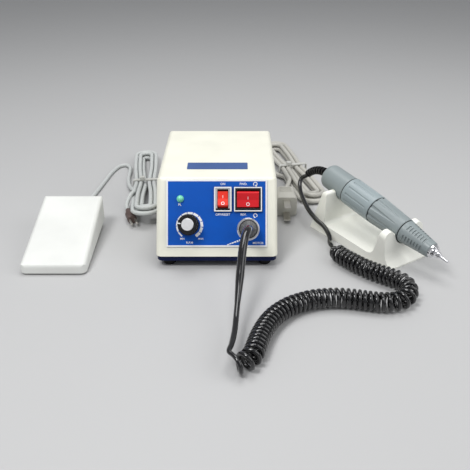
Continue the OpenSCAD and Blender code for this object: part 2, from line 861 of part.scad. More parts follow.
module pedal_base() {
    inset = pedal_wall + base_gap;
    size = [pedal_w - 2 * inset, pedal_l - 2 * inset];
    rim = 2;
    rim_start = 16;
    rim_low = floor_top + 2.6;
    color("gainsboro") in_pedal() difference() {
        union() {
            translate([0, pedal_l / 2, pad_t]) rounded_plate(size, pedal_edge_r, floor_t);
            intersection() {
                difference() {
                    translate([0, pedal_l / 2, pad_t]) rounded_plate(size, pedal_edge_r, pedal_rear_h);
                    translate([0, pedal_l / 2, 0])
                        rounded_plate(
                            [size[0] - 2 * rim, size[1] - 2 * rim], pedal_edge_r - rim, 2 * pedal_rear_h);
                }
                along_x(pedal_w) polygon([
                    [rim_start, floor_top - 1], [rim_start, rim_low],
                    [pedal_l, rim_low + (pedal_l - rim_start) * rim_slope], [pedal_l, floor_top - 1]]);
            }
            for (side = [-1, 1]) {
                hinge_axis(lug_x * side) cylinder(r = knuckle_r, h = knuckle_w, center = true);
                translate([lug_x * side, hinge_y, (hinge_z + floor_top) / 2])
                    cube([knuckle_w, 2 * knuckle_r, hinge_z - floor_top], center = true);
            }
        }
        hinge_axis(0) cylinder(r = hinge_r + set_gap, h = pedal_w, center = true);
        translate([0, pedal_l - inset - rim / 2, pedal_cord_z]) rotate([90, 0, 0])
            cylinder(r = pedal_gland_r + set_gap, h = 2 * rim, center = true);
    }
}
rim_slope = 0.11;

module pedal_pads() {
    pad = [38, 12];
    color("dimgray") in_pedal() for (y = [14, pedal_l - 14]) translate([0, y, 0]) rounded_plate(pad, 2, pad_t);
}

module pedal_hinge_pin() {
    color("silver") in_pedal() hinge_axis(0) cylinder(r = hinge_r, h = 2 * lug_x + knuckle_w, center = true);
}

// Coil spring: its wire path winds up from the base to the treadle's seat
spring_low = floor_top + move_gap + spring_wire / 2;
spring_high = spring_seat - move_gap - spring_wire / 2;
spring_path = [for (i = [0:spring_turns * curl_steps])
    let (turn = 360 * i / curl_steps)
    [spring_r * cos(turn), spring_y + spring_r * sin(turn),
     spring_low + (spring_high - spring_low) * i / (spring_turns * curl_steps)]];

module pedal_spring() {
    color("silver") in_pedal() swept_tube(
        spring_path, [for (p = spring_path) spring_wire / 2],
        [for (p = spring_path) [p[0], p[1] - spring_y, 0]], ring_sides);
}

module pedal_switch() {
    color("black") in_pedal() difference() {
        translate([-switch_size[0] / 2, switch_y - switch_size[1] / 2, floor_top]) cube(switch_size);
        translate([0, switch_y, floor_top + 2]) cylinder(r = plunger_r + run_gap, h = switch_size[2]);
    }
}

module switch_plunger() {
    plunger_l = 4;
    color("red") in_pedal() translate([0, switch_y, plunger_top - plunger_l])
        cylinder(r = plunger_r, h = plunger_l);
}

module pedal_gland() {
    start = pedal_l - pedal_wall - base_gap - 3;
    color("lightgray") in_pedal() translate([0, start, pedal_cord_z]) rotate([-90, 0, 0]) {
        cylinder(r = pedal_gland_r, h = 4);
        translate([0, 0, 4]) cylinder(r1 = pedal_gland_r, r2 = pedal_cord_d / 2 + 0.4, h = pedal_gland_l - 4);
    }
}

// Cradle: one moulding, drawn from its side and cut to two pairs of prongs

function hand_axis_z(along) = hand_z - (along + hand_back) * tan(hand_slope);

cradle_floor = 10;
cradle_toe = 6.5;
rear_lean = 14.5;
prong_t = 5;
front_prong = 87.5;
// Radius of the chuck ring where the front prongs begin
front_seat_r = ring_front_r
    + (ring_rear_r - ring_front_r) * (ring_s + ring_l - hand_back - front_prong) / ring_l;

module cradle_side() {
    polygon(rounded_outline(
        [[0, 0], [rear_lean, rear_prong_h], [rear_lean + prong_t, rear_prong_h],
         [rear_lean + prong_t - 1, cradle_floor], [front_prong - 7, cradle_toe], [front_prong, front_prong_h],
         [front_prong + prong_t, front_prong_h], [front_prong + prong_t + 2.5, 9],
         [cradle_l, 1.5], [cradle_l, 0]],
        [0, 2.4, 2.4, 4, 8, 2.4, 2.4, 16, 0.6, 0]));
}

// Front view of a pair of prongs, with the seat that the handpiece lies in
module prong_view(seat_r, prong_h, axis_z) {
    half = cradle_w / 2;
    tip = (half - seat_r) / 2 - 0.05;
    deep = -2 * rear_prong_h;
    seat = [for (i = [0:12]) let (turn = 180 + 15 * i) seat_r * [cos(turn), sin(turn)]];
    top = prong_h - axis_z;
    left = corner_arc([-half, deep], [-half, top], [-seat_r, top], tip);
    inner = corner_arc([-half, top], [-seat_r, top], [-seat_r, deep], tip);
    polygon(concat(
        [[-half, deep]], left, inner, seat,
        [for (i = [len(inner) - 1:-1:0]) [-inner[i][0], inner[i][1]]],
        [for (i = [len(left) - 1:-1:0]) [-left[i][0], left[i][1]]],
        [[half, deep]]));
}

// The seats are drawn along the handpiece's own axis
module prong_cut(from, to, seat_r, prong_h) {
    middle = (from + to) / 2;
    intersection() {
        translate([middle, 0, hand_axis_z(middle)]) rotate([90, 0, 90]) rotate([hand_slope, 0, 0])
            translate([0, 0, -cradle_l]) linear_extrude(2 * cradle_l)
                prong_view(seat_r, prong_h, hand_axis_z(middle));
        translate([from, -cradle_w, -rear_prong_h]) cube([to - from, 2 * cradle_w, 3 * rear_prong_h]);
    }
}

module cradle() {
    split = cradle_l / 2;
    side_in = cradle_w - 2 * cradle_wall;
    hollow_h = rear_prong_h * 0.54;
    hollow_end = rear_lean + prong_t - 1 - cradle_wall;
    color("ivory") in_cradle() difference() {
        intersection() {
            rotate([90, 0, 0]) linear_extrude(cradle_w, center = true) cradle_side();
            union() {
                prong_cut(-1, split, cap_shell_r + rest_gap, rear_prong_h);
                prong_cut(split, cradle_l + 1, front_seat_r + rest_gap, front_prong_h);
            }
        }
        rotate([90, 0, 0]) linear_extrude(side_in, center = true) {
            polygon([
                [cradle_wall * 1.2, -1], [rear_lean * 0.62, hollow_h], [hollow_end, hollow_h],
                [hollow_end, cradle_floor - cradle_wall], [front_prong - 24, cradle_toe - 1.2],
                [front_prong - 24, -1]]);
            polygon([
                [front_prong - 2, -1], [front_prong + 1, front_prong_h * 0.3],
                [front_prong + prong_t - 0.5, front_prong_h * 0.3], [front_prong + prong_t + 3, -1]]);
        }
    }
}

// Handpiece: shells first, then what turns inside them

module rear_cap() {
    back = 3;
    color("lightslategray") in_hand() rotate_extrude() polygon(concat(
        [[relief_r + set_gap, 0]],
        corner_arc([0, 0], [cap_shell_r - 0.6, 0], [cap_shell_r, cap_l], 5),
        [[cap_shell_r, cap_l], [shell_bore, cap_l], [shell_bore, back], [relief_r + set_gap, back]]));
}

// A bent sleeve with rings round it, drawn down by the cord's weight
module cord_relief() {
    ring_t = 1.5;
    ring_out = 1.4;
    root_l = 0.5;
    anchor_r = relief_r + 1.5;
    color("black") in_hand() {
        translate([0, 0, -root_l]) cylinder(r = relief_r, h = 3 + root_l);
        translate([0, 0, 3]) cylinder(r = anchor_r, h = 1.6);
        translate([relief_bend, 0, 0]) rotate([90, 0, 0]) mirror([0, 1, 0]) {
            rotate([0, 0, 180 - relief_turn]) rotate_extrude(angle = relief_turn)
                translate([relief_bend, 0]) circle(r = relief_r - 0.6);
            for (i = [1:relief_rings]) rotate([0, 0, 180 - relief_turn * (i - 0.3) / relief_rings])
                translate([relief_bend, 0, 0]) rotate([90, 0, 0])
                    cylinder(r = relief_r + ring_out * (1 - i / relief_rings / 2), h = ring_t, center = true);
        }
    }
}

module motor_sleeve() {
    ribs = 12;
    color("lightsteelblue") in_hand(sleeve_s) difference() {
        rotate_extrude() polygon([
            [shell_bore, 0], [sleeve_r - 0.5, 0], [sleeve_r, 0.5], [sleeve_r - 0.2, sleeve_l - 0.5],
            [sleeve_r - 0.7, sleeve_l], [neck_r + set_gap, sleeve_l],
            [neck_r + set_gap, sleeve_l - sleeve_web], [shell_bore, sleeve_l - sleeve_web]]);
        for (i = [0:ribs - 1]) rotate([0, 0, 360 * (i + 0.5) / ribs]) translate([sleeve_r + 0.6, 0, 4])
            cylinder(r = 1.2, h = sleeve_l - 8);
    }
}

module motor_can() {
    color("silver") in_hand(can_s) tube(can_r, can_r - can_t, can_end - can_s);
}

// Two plates close the can and hold the bearings; the rear one carries the brush boxes
module motor_end_plates() {
    plate_r = can_r - can_t - set_gap;
    color("dimgray") {
        in_hand(can_s) difference() {
            cylinder(r = plate_r, h = plate_t);
            translate([0, 0, plate_t - bearing_l]) cylinder(r = bearing_r + set_gap, h = plate_t);
            translate([0, 0, -1]) cylinder(r = motor_shaft_r + move_gap, h = plate_t + 2);
        }
        in_hand(can_end - plate_t) difference() {
            cylinder(r = plate_r, h = plate_t);
            translate([0, 0, -1]) cylinder(r = bearing_r + set_gap, h = bearing_l + 1);
            translate([0, 0, -1]) cylinder(r = motor_shaft_r + move_gap, h = plate_t + 2);
        }
    }
}

module magnets() {
    gap_w = 4;
    color("darkslategray") in_hand(rotor_s - 1) difference() {
        tube(magnet_r, magnet_r - magnet_t, rotor_l + 1);
        cube([gap_w, 4 * can_r, 4 * rotor_l], center = true);
    }
}

module carbon_brushes() {
    brush = [4, magnet_r - commutator_r - run_gap - set_gap, 5];
    middle = commutator_s + commutator_l / 2;
    color("black") in_hand(middle) for (side = [0, 180]) rotate([0, 0, side]) difference() {
        translate([-brush[0] / 2, 0, -brush[2] / 2]) cube([brush[0], magnet_r - 0.4, brush[2]]);
        cylinder(r = commutator_r + run_gap, h = 2 * brush[2], center = true);
    }
}

module rotor_core() {
    slots = 7;
    slot_r = 1.3;
    color("chocolate") in_hand(rotor_s) difference() {
        tube(rotor_r, motor_shaft_r + set_gap, rotor_l);
        for (i = [0:slots - 1]) rotate([0, 0, 360 * i / slots]) translate([rotor_r, 0, -1])
            cylinder(r = slot_r, h = rotor_l + 2);
    }
}

module commutator() {
    bars = 7;
    color("darkorange") in_hand(commutator_s) difference() {
        tube(commutator_r, motor_shaft_r + set_gap, commutator_l);
        for (i = [0:bars - 1]) rotate([0, 0, 360 * i / bars]) translate([commutator_r, 0, commutator_l / 2])
            cube([0.8, 0.3, 2 * commutator_l], center = true);
    }
}

module rotor_shaft() {
    low = can_s + 1;
    color("silver") in_hand(low) cylinder(r = motor_shaft_r, h = spindle_rear - 1 - low);
}

// A sleeve that joins the motor's shaft to the spindle
module drive_coupling() {
    grip = 6;
    color("dimgray") in_hand(spindle_rear - grip) difference() {
        cylinder(r = coupling_r, h = 2 * grip);
        translate([0, 0, -1]) cylinder(r = motor_shaft_r + set_gap, h = grip);
        translate([0, 0, grip - 1]) cylinder(r = spindle_r - 1 + set_gap, h = 2 * grip);
    }
}

module chuck_ring() {
    flute_r = 2.8;
    flute_in = 1.1;
    flute_end_r = 0.6;
    flute_l = ring_l - 5;
    fall = flute_r - flute_in - flute_end_r + 0.2 + (ring_rear_r - ring_front_r) * flute_l / ring_l;
    color("lightslategray") in_hand(ring_s) difference() {
        rotate_extrude() polygon([
            [neck_r + run_gap, 0], [ring_rear_r - 0.5, 0], [ring_rear_r, 0.5], [ring_front_r, ring_l - 0.4],
            [ring_front_r - 0.4, ring_l], [neck_r + run_gap, ring_l]]);
        for (i = [0:ring_flutes - 1]) rotate([0, 0, 360 * (i + 0.5) / ring_flutes])
            translate([ring_rear_r + flute_r - flute_in, 0, -0.5]) rotate([0, -atan(fall / flute_l), 0])
                cylinder(r1 = flute_r, r2 = flute_end_r, h = flute_l);
    }
}

// The nose cone's neck runs back through the chuck ring into the motor sleeve
module nose_cone() {
    neck_s = ring_s - 2.5;
    start = nose_s - neck_s;
    slope = (nose_r - tip_r) / nose_l;
    grip = [2, 5, 1.4];
    grip_step = 2.9;
    color("lightslategray") in_hand(neck_s) difference() {
        rotate_extrude() polygon([
            [spindle_bearing_r + set_gap, 0], [neck_r, 0], [neck_r, start], [nose_r - 0.4, start],
            [nose_r, start + 0.4], [tip_r, start + nose_l - 0.6], [tip_r - 0.6, start + nose_l],
            [spindle_bearing_r + set_gap, start + nose_l]]);
        for (i = [0:grip_rings - 1], side = [0:5]) let (s = 5.5 + i * grip_step)
            rotate([0, 0, 60 * side + 30]) translate([nose_r - slope * s + 0.2, 0, start + s])
                cube(grip, center = true);
    }
}

bearing_stations = [nose_s + 4, nose_end - 8];

// Two bearings carry the motor's shaft and two the spindle
module ball_bearings() {
    color("lightgray") {
        for (s = [can_s + plate_t - bearing_l, can_end - plate_t])
            in_hand(s) tube(bearing_r, motor_shaft_r + run_gap, bearing_l);
        for (s = bearing_stations) in_hand(s) tube(spindle_bearing_r, spindle_r + run_gap, spindle_bearing_l);
    }
}

module spindle() {
    tail = 12;
    color("silver") in_hand(spindle_rear + 0.5) difference() {
        union() {
            cylinder(r = spindle_r - 1, h = tail);
            translate([0, 0, tail - 4]) cylinder(r = spindle_r, h = collet_s - spindle_rear - 0.5 - tail + 4);
        }
        translate([0, 0, collet_s - spindle_rear - 0.5 - 20]) cylinder(r = bur_r + set_gap, h = 30);
    }
}

module nose_ring() {
    color("silver") in_hand(nose_end) rotate_extrude() polygon([
        [spindle_r + move_gap, 0], [tip_r - 0.8, 0], [tip_r - 0.8, 1.6], [tip_r - 1.6, 2.2],
        [tip_r - 1.9, nose_ring_l], [spindle_r + move_gap, nose_ring_l]]);
}

module collet() {
    color("silver") in_hand(collet_s) difference() {
        rotate_extrude() polygon([
            [bur_r + set_gap, 0], [3.9, 0], [3.9, 1.4], [2.7, 1.9], [2.7, 3.2], [2.1, collet_l],
            [bur_r + set_gap, collet_l]]);
        for (turn = [0:60:120]) rotate([0, 0, turn]) translate([0, 0, collet_l])
            cube([8, 0.35, 3], center = true);
    }
}

module bur() {
    in_l = 17;
    color("gainsboro") in_hand(collet_s - in_l) rotate_extrude() polygon([
        [0, 0], [bur_r, 0], [bur_r, in_l + bur_out - 3],
        [bur_r * 0.8, in_l + bur_out], [0, in_l + bur_out + 0.4]]);
}

// Motor cord: a plug, a lead to the curls, the curls, and a lead to the handpiece

plug_back = panel_t + socket_ring_t + plug_l + plug_taper + boot_l;

module motor_plug() {
    face = panel_t + socket_ring_t;
    color("dimgray") on_panel(socket_a, socket_b, face) rotate_extrude() polygon([
        [0, -plug_nose_l], [socket_bore_r - 0.2, -plug_nose_l], [socket_bore_r - 0.2, 0], [plug_r, 0],
        [plug_r, plug_l - 1], [plug_r - 1, plug_l],
        [boot_d / 2 + 1.2, plug_l + plug_taper - 1], [boot_d / 2, plug_l + plug_taper],
        [boot_d / 2, plug_l + plug_taper + boot_l], [0, plug_l + plug_taper + boot_l]]);
}

// Middle line of the curls on the bench
curl_route = [
    [3, -205], [9.5, -202], [14.5, -195.5], [17.5, -186], [20.3, -175.5], [23.8, -165.5], [27.6, -157],
    [32.4, -149.2], [38.2, -142.2], [45.2, -136], [53, -131.4], [61.4, -127.6], [70.4, -125.6], [79.6, -124.8],
    [88.8, -125.4], [97.8, -127.2], [106.6, -129.4], [115.4, -131], [124.4, -130.6], [132.6, -126.8],
    [138, -119], [139.4, -109.4], [136, -100.8], [128.6, -94], [119.2, -87], [109.6, -78.4], [101.4, -69],
    [94.8, -60.4], [90.8, -52.8], [89.4, -47.6]];
curl_z = curl_r + curl_d / 2;
route_steps = 10;

// Point at share f of the way from route point i to the next, on a smooth curve through all of them
function smooth_point(route, i, f) =
    let (
        n = len(route) - 1,
        b = route[i],
        c = route[min(i + 1, n)],
        a = i > 0 ? route[i - 1] : 2 * b - c,
        d = i + 2 <= n ? route[i + 2] : 2 * c - b
    )
    (2 * b + (c - a) * f + (2 * a - 5 * b + 4 * c - d) * f * f + (3 * b - a - 3 * c + d) * f * f * f) / 2;

function smooth_route(route, steps) = concat(
    [for (i = [0:len(route) - 2], k = [0:steps - 1]) smooth_point(route, i, k / steps)],
    [route[len(route) - 1]]);

curl_line = smooth_route(curl_route, route_steps);
function running_length(line) =
    [for (i = 0, total = 0; i < len(line);
        total = total + (i + 1 < len(line) ? norm(line[i + 1] - line[i]) : 0), i = i + 1) total];
curl_lengths = running_length(curl_line);
curl_total = curl_lengths[len(curl_lengths) - 1];

// Place on the middle line at a length s from its start
function line_at(s) = [lookup(s, [for (i = [0:len(curl_line) - 1]) [curl_lengths[i], curl_line[i][0]]]),
                       lookup(s, [for (i = [0:len(curl_line) - 1]) [curl_lengths[i], curl_line[i][1]]])];

// How tightly the middle line bends at s, measured over a short stretch
bend_reach = 7;
function bend_at(s) =
    let (
        a = line_at(max(s - bend_reach, 0)),
        b = line_at(s),
        c = line_at(min(s + bend_reach, curl_total)),
        u = unit(b - a),
        v = unit(c - b)
    )
    (s < 1 || s > curl_total - 1) ? 0 : acos(min(1, u * v)) * PI / 180 / (norm(c - a) / 2);

// Curls open out in a bend, so that their inner sides keep the same room, and unwind at the far end
unwind_l = 7;
function curl_size(s) = curl_r * min(1, max(0, (curl_total - s) / unwind_l));
function curl_step(s) =
    let (
        tight = min(bend_at(max(s, bend_reach)), 0.6 / curl_r),
        ending = 1 + 2 * max(0, 1 - (curl_total - s) / unwind_l)
    )
    curl_pitch / (1 - curl_r * tight) * ending / curl_steps;

curl_stations = [for (s = 0; s < curl_total - 1; s = s + curl_step(s)) s];

function curl_point(s, turn) =
    let (
        ahead = unit(line_at(min(s + 1, curl_total)) - line_at(max(s - 1, 0))),
        right = [ahead[1], -ahead[0]],
        side = curl_size(s) * sin(turn) * right,
        at = line_at(s)
    )
    [at[0] + side[0], at[1] + side[1], curl_z + curl_size(s) * cos(turn)];

curl_turns = [for (i = [0:len(curl_stations) - 1]) curl_point(curl_stations[i], 360 * i / curl_steps)];
curl_in = unit(curl_turns[1] - curl_turns[0]);
curl_start = curl_turns[0] - curl_d * curl_in;
curl_last = [curl_line[len(curl_line) - 1][0], curl_line[len(curl_line) - 1][1], curl_z];
curl_out = unit(curl_last - [curl_line[len(curl_line) - 5][0], curl_line[len(curl_line) - 5][1], curl_z]);
curl_end = curl_last + curl_d * curl_out;
curl_path = concat([curl_start], curl_turns, [curl_last, curl_end]);

module curly_cord() {
    n = len(curl_path);
    outward = [for (i = [0:n - 1])
        let (turn = 360 * (min(i, n - 3) - 1) / curl_steps,
             s = curl_stations[max(0, min(i - 1, len(curl_stations) - 1))],
             ahead = unit(line_at(min(s + 1, curl_total)) - line_at(max(s - 1, 0))))
        [sin(turn) * ahead[1], -sin(turn) * ahead[0], cos(turn)]];
    echo(curls = len(curl_stations) / curl_steps, curl_gap = self_gap(curl_path, curl_d, curl_steps / 2));
    color("black") swept_tube(curl_path, [for (p = curl_path) curl_d / 2], outward, ring_sides);
}

// Lead from the motor plug, hanging down to the top of the first curl
plug_out = panel_point(socket_a, socket_b, plug_back);
plug_way = panel_point(socket_a, socket_b, plug_back + lead_d) - plug_out;
lead_drop = [
    [12.8, -87, 46.5], [10.6, -96, 44.5], [9, -105, 40], [7.8, -115, 34], [6.7, -126, 28], [5.6, -138, 22.5],
    [4.6, -150, 18], [3.7, -162, 15], [2.8, -174, 13.6], [1.6, -184, 13.4], [0.4, -191.5, 13.8]];
boot_rings = 6;
lead_path = concat([plug_out, plug_out + plug_way], lead_drop, [curl_start - lead_d * curl_in, curl_start]);

module motor_lead() {
    n = len(lead_path);
    radii = [for (i = [0:n - 1]) (boot_d + (lead_d - boot_d) * min(1, max(0, (i - boot_rings) / 2))) / 2];
    ahead = [for (i = [0:n - 1]) tangent(lead_path, i)];
    color("black") swept_tube(lead_path, radii, [for (t = ahead) cross(t, [0, 0, 1])], lead_sides);
}

// End of the bent sleeve behind the handpiece
relief_end_back = relief_bend * (sin(hand_slope) + sin(relief_turn - hand_slope));
relief_end_down = relief_bend * (cos(hand_slope) - cos(relief_turn - hand_slope));
relief_end = cradle_point(-hand_back - relief_end_back, 0, hand_z - relief_end_down);
relief_way = cradle_point(-hand_back - relief_end_back - lead_d * cos(relief_turn - hand_slope), 0,
    hand_z - relief_end_down - lead_d * sin(relief_turn - hand_slope)) - relief_end;
hand_rise = [
    [87.6, -34.4, 7], [88.4, -28.4, 8], [87.6, -21.4, 9.6], [84.6, -12, 11.8], [79, -3, 13.8],
    [73.6, 9.6, 16.4], [70, 25, 19.2], [67.6, 41, 22.4], [67.6, 52.6, 26.6], [70, 56, 31]];
hand_lead_path = concat(
    [curl_end, curl_end + lead_d * curl_out], hand_rise, [relief_end + relief_way, relief_end]);

module handpiece_lead() {
    color("black") cord_tube(hand_lead_path, lead_d);
}

// Hanks: loops laid side by side in two layers, drawn in at the waist by a tie

// Point of a loop with straight runs and round ends, l and w from its middle, at a turn from its left waist
function loop_point(turn, l, w) =
    let (
        near = turn < 180 ? 1 : -1,
        part = turn % 180,
        run = l - w,
        bend = 2 * (part - 90)
    )
    part < 45 ? [near * run * part / 45, -near * w] :
    part > 135 ? [near * run * (180 - part) / 45, near * w] :
    [near * (run + w * cos(bend)), near * w * sin(bend)];

// Point of a hank at a count of turns t, with its length along X and the first strand on the left
function hank_point(t, loops, d, length, width, step, pull, lift, first) =
    let (
        half = loops / 2,
        inward = t < half ? t : loops - t,
        p = loop_point((first + 360 * t) % 360, (length - d) / 2 - step * inward, width - step * inward),
        climb = max(0, min(1, (t - half) * 2 + 0.5)),
        layer = climb * climb * (3 - 2 * climb),
        waist = pull * exp(-pow(p[0] / (0.15 * length), 2))
    )
    [p[0], p[1] - sign(p[1]) * waist,
     d / 2 + tie_t + tie_room + layer * (d + 0.6) + lift * max(0, p[0]) / (length / 2)];

function turned(p, at, yaw) =
    [at[0] + p[0] * cos(yaw) - p[1] * sin(yaw), at[1] + p[0] * sin(yaw) + p[1] * cos(yaw), p[2]];

hank_first = 15;
pedal_hank_at = [-92, 98];
pedal_hank_yaw = -83.5;
pedal_hank_w = 12.8;
pedal_hank_step = 4.75;
pedal_hank_pull = 2.2;
pedal_loops_path = [for (i = [0:pedal_loops * loop_steps])
    turned(hank_point(i / loop_steps, pedal_loops, pedal_cord_d, pedal_hank_l, pedal_hank_w, pedal_hank_step,
        pedal_hank_pull, hank_lift, hank_first), pedal_hank_at, pedal_hank_yaw)];

mains_hank_at = [68, 138];
mains_hank_yaw = -77;
mains_hank_w = 14.4;
mains_hank_step = 5.4;
mains_hank_pull = 2.3;
mains_loops_path = [for (i = [0:mains_loops * loop_steps])
    turned(hank_point(i / loop_steps, mains_loops, mains_cord_d, mains_hank_l, mains_hank_w, mains_hank_step,
        mains_hank_pull, 0, hank_first), mains_hank_at, mains_hank_yaw)];

// Both ends of a hank run straight for one cord diameter
function with_ends(path, d) =
    let (n = len(path) - 1)
    concat([path[0] - d * unit(path[1] - path[0])], path, [path[n] + d * unit(path[n] - path[n - 1])]);

pedal_hank_path = with_ends(pedal_loops_path, pedal_cord_d);
mains_hank_path = with_ends(mains_loops_path, mains_cord_d);

module hank_tube(path, d) {
    ahead = [for (i = [0:len(path) - 1]) tangent(path, i)];
    swept_tube(path, [for (p = path) d / 2], [for (t = ahead) cross(t, [0, 0, 1])], ring_sides);
}

module pedal_hank() {
    echo(pedal_hank_gap = self_gap(pedal_loops_path, pedal_cord_d, 3));
    color("silver") hank_tube(pedal_hank_path, pedal_cord_d);
}

module mains_hank() {
    echo(mains_hank_gap = self_gap(mains_loops_path, mains_cord_d, 3));
    color("silver") hank_tube(mains_hank_path, mains_cord_d);
}

// The route of a free lead: straight out of what it leaves, over placed points, straight into what it meets
function lead_route(from, out, places, into, to, d) =
    concat([from, from + d * out], places, [to - d * into, to]);

function first_way(path) = unit(path[1] - path[0]);
function last_way(path) = unit(path[len(path) - 1] - path[len(path) - 2]);

// Pedal cord, from the pedal's gland to its hank and from there to its plug
pedal_plug_at = [-103, 36];
pedal_plug_yaw = -70.5;
pedal_plug_r = 4.6;
pedal_plug_way = [cos(pedal_plug_yaw), sin(pedal_plug_yaw), 0];
pedal_gland_end = [pedal_x, pedal_y + pedal_l - pedal_wall - base_gap - 3 + pedal_gland_l, pedal_cord_z];
pedal_places = [
    [-149, 40, 5], [-148, 55, 2.4], [-145.6, 74, 2.2], [-142.4, 96, 2.2], [-139.4, 119.4, 2.2],
    [-136, 142, 2.2], [-131, 157, 2.2], [-124, 161.6, 2.2], [-118.2, 155, 2.2], [-116, 142, 2.2],
    [-115.2, 126, 2.2], [-113, 109, 2.4], [-109.4, 96, 3.2], [-106.2, 88, 4.8]];
pedal_tail_places = [[-100.4, 63, 13.4], [-102, 56.6, 13], [-104.3, 50.3, 9.8], [-105.4, 45.1, 6.4]];

module pedal_lead() {
    n = len(pedal_hank_path) - 1;
    color("silver") {
        cord_tube(lead_route(pedal_gland_end, [0, 1, 0], pedal_places, first_way(pedal_hank_path),
            pedal_hank_path[0], pedal_cord_d), pedal_cord_d);
        cord_tube(lead_route(pedal_hank_path[n], last_way(pedal_hank_path), pedal_tail_places, pedal_plug_way,
            [pedal_plug_at[0], pedal_plug_at[1], pedal_plug_r + 0.2], pedal_cord_d), pedal_cord_d);
    }
}

module pedal_plug() {
    body_l = 22;
    pin_l = 9;
    pin_r = 1.1;
    neck = pedal_cord_d / 2 + 0.4;
    color("rosybrown") translate([pedal_plug_at[0], pedal_plug_at[1], pedal_plug_r + 0.2])
        rotate([0, 0, pedal_plug_yaw]) rotate([0, 90, 0]) {
            rotate_extrude() polygon([
                [0, 0], [neck, 0], [neck + 0.6, 7], [pedal_plug_r, 9], [pedal_plug_r, body_l - 0.6],
                [pedal_plug_r - 0.6, body_l], [0, body_l]]);
            for (side = [-1, 1]) translate([0, 2.4 * side, body_l - 1]) cylinder(r = pin_r, h = pin_l + 1);
        }
}

// Mains cord, from the gland in the rear wall to its hank and from there to its plug
mains_plug_at = [53.5, 68];
mains_plug_size = [21, 27, 20];
mains_plug_z = mains_plug_size[2] / 2;
gland_taper = 0.6;
mains_gland_end = [box_x + gland_x, box_y + box_d / 2 + gland_out, rear_z];
mains_places = [
    [15.7, 110, 26.4], [16.8, 119, 17.6], [19, 128, 9.4], [22.6, 136.4, 4.6], [28, 143, 3.2],
    [35, 145.5, 3], [42, 142.5, 3], [48.2, 134.5, 3.2], [53, 127, 3.6]];
mains_tail_places = [[61.8, 102.7, 9.2], [60.2, 95.2, 8.4], [57.6, 87, 7.4], [55, 79, 8]];

// The sheath is thicker where it leaves the box
module mains_lead() {
    n = len(mains_hank_path) - 1;
    lead = lead_route(mains_gland_end, [0, 1, 0], mains_places, first_way(mains_hank_path),
        mains_hank_path[0], mains_cord_d);
    color("silver") {
        swept_tube(lead, [for (i = [0:len(lead) - 1]) max(mains_cord_d / 2, gland_end_r - gland_taper * i)],
            [for (i = [0:len(lead) - 1]) cross(tangent(lead, i), [0, 0, 1])], lead_sides);
        cord_tube(lead_route(mains_hank_path[n], last_way(mains_hank_path), mains_tail_places, [0, -1, 0],
            [mains_plug_at[0], mains_plug_at[1], mains_plug_z], mains_cord_d), mains_cord_d);
    }
}

module mains_plug() {
    relief_l = 8;
    blade = [6.3, 17, 1.5];
    blade_apart = 12.7;
    size = mains_plug_size;
    back = size[0] - 6;
    color("silver") translate([mains_plug_at[0], mains_plug_at[1], mains_plug_z]) rotate([0, 0, 180]) {
        rotate([-90, 0, 0]) cylinder(r1 = mains_cord_d / 2 + 0.4, r2 = mains_cord_d, h = relief_l);
        intersection() {
            translate([0, 0, -mains_plug_z]) linear_extrude(size[2]) polygon(rounded_outline(
                [[-back / 2, relief_l], [back / 2, relief_l], [back / 2 + 1, relief_l + 12],
                 [size[0] / 2, relief_l + 18], [size[0] / 2, relief_l + size[1]],
                 [-size[0] / 2, relief_l + size[1]],
                 [-size[0] / 2, relief_l + 18], [-back / 2 - 1, relief_l + 12]],
                [3, 3, 6, 4, 1.5, 1.5, 4, 6]));
            rotate([-90, 0, 0]) linear_extrude(3 * size[1]) polygon(rounded_outline(
                [[-size[0], -size[2]] / 2, [size[0], -size[2]] / 2,
                 [size[0], size[2]] / 2, [-size[0], size[2]] / 2],
                [4, 4, 4, 4]));
        }
        for (side = [-1, 1]) translate([0, relief_l + size[1] + blade[1] / 2 - 0.5, side * blade_apart / 2])
            cube([blade[0], blade[1] + 1, blade[2]], center = true);
    }
}

// A strap round the waist of each hank, with its lock on top
module hank_tie(at, yaw, half, d) {
    low = tie_t;
    high = tie_t + 2 * tie_room + 2 * d + 0.6;
    lock = [5, 5, 3];
    translate([at[0], at[1], 0]) rotate([0, 0, yaw]) {
        along_x(tie_w) difference() {
            polygon(rounded_outline(
                [[-half - tie_t, 0], [half + tie_t, 0],
                 [half + tie_t, high + tie_t], [-half - tie_t, high + tie_t]],
                [2, 2, 2, 2]));
            polygon(rounded_outline([[-half, low], [half, low], [half, high], [-half, high]], [1, 1, 1, 1]));
        }
        translate([-lock[0] / 2, -half / 2, high + tie_t]) cube(lock);
    }
}

module cord_ties() {
    color("silver") {
        hank_tie(pedal_hank_at, pedal_hank_yaw,
            pedal_hank_w - pedal_hank_pull + pedal_cord_d / 2 + tie_room, pedal_cord_d);
        hank_tie(mains_hank_at, mains_hank_yaw,
            mains_hank_w - mains_hank_pull + mains_cord_d / 2 + tie_room, mains_cord_d);
    }
}

housing();
base_plate();
rubber_feet();
case_screws();
front_panel();
top_label();
power_switch_frame();
power_rocker();
direction_switch_frame();
direction_rocker();
pilot_lamp();
speed_potentiometer();
knob_shaft();
speed_knob();
knob_cap();
motor_socket();
transformer_core();
transformer_coil();
circuit_board();
fuse_holder();
pedal_socket();
mains_gland();
pedal_base();
pedal_pads();
pedal_treadle();
pedal_hinge_pin();
pedal_spring();
pedal_switch();
switch_plunger();
pedal_gland();
cradle();
rear_cap();
cord_relief();
motor_sleeve();
motor_can();
motor_end_plates();
magnets();
ball_bearings();
carbon_brushes();
rotor_core();
commutator();
rotor_shaft();
drive_coupling();
chuck_ring();
nose_cone();
spindle();
nose_ring();
collet();
bur();
motor_plug();
motor_lead();
curly_cord();
handpiece_lead();
pedal_lead();
pedal_hank();
pedal_plug();
mains_lead();
mains_hank();
mains_plug();
cord_ties();
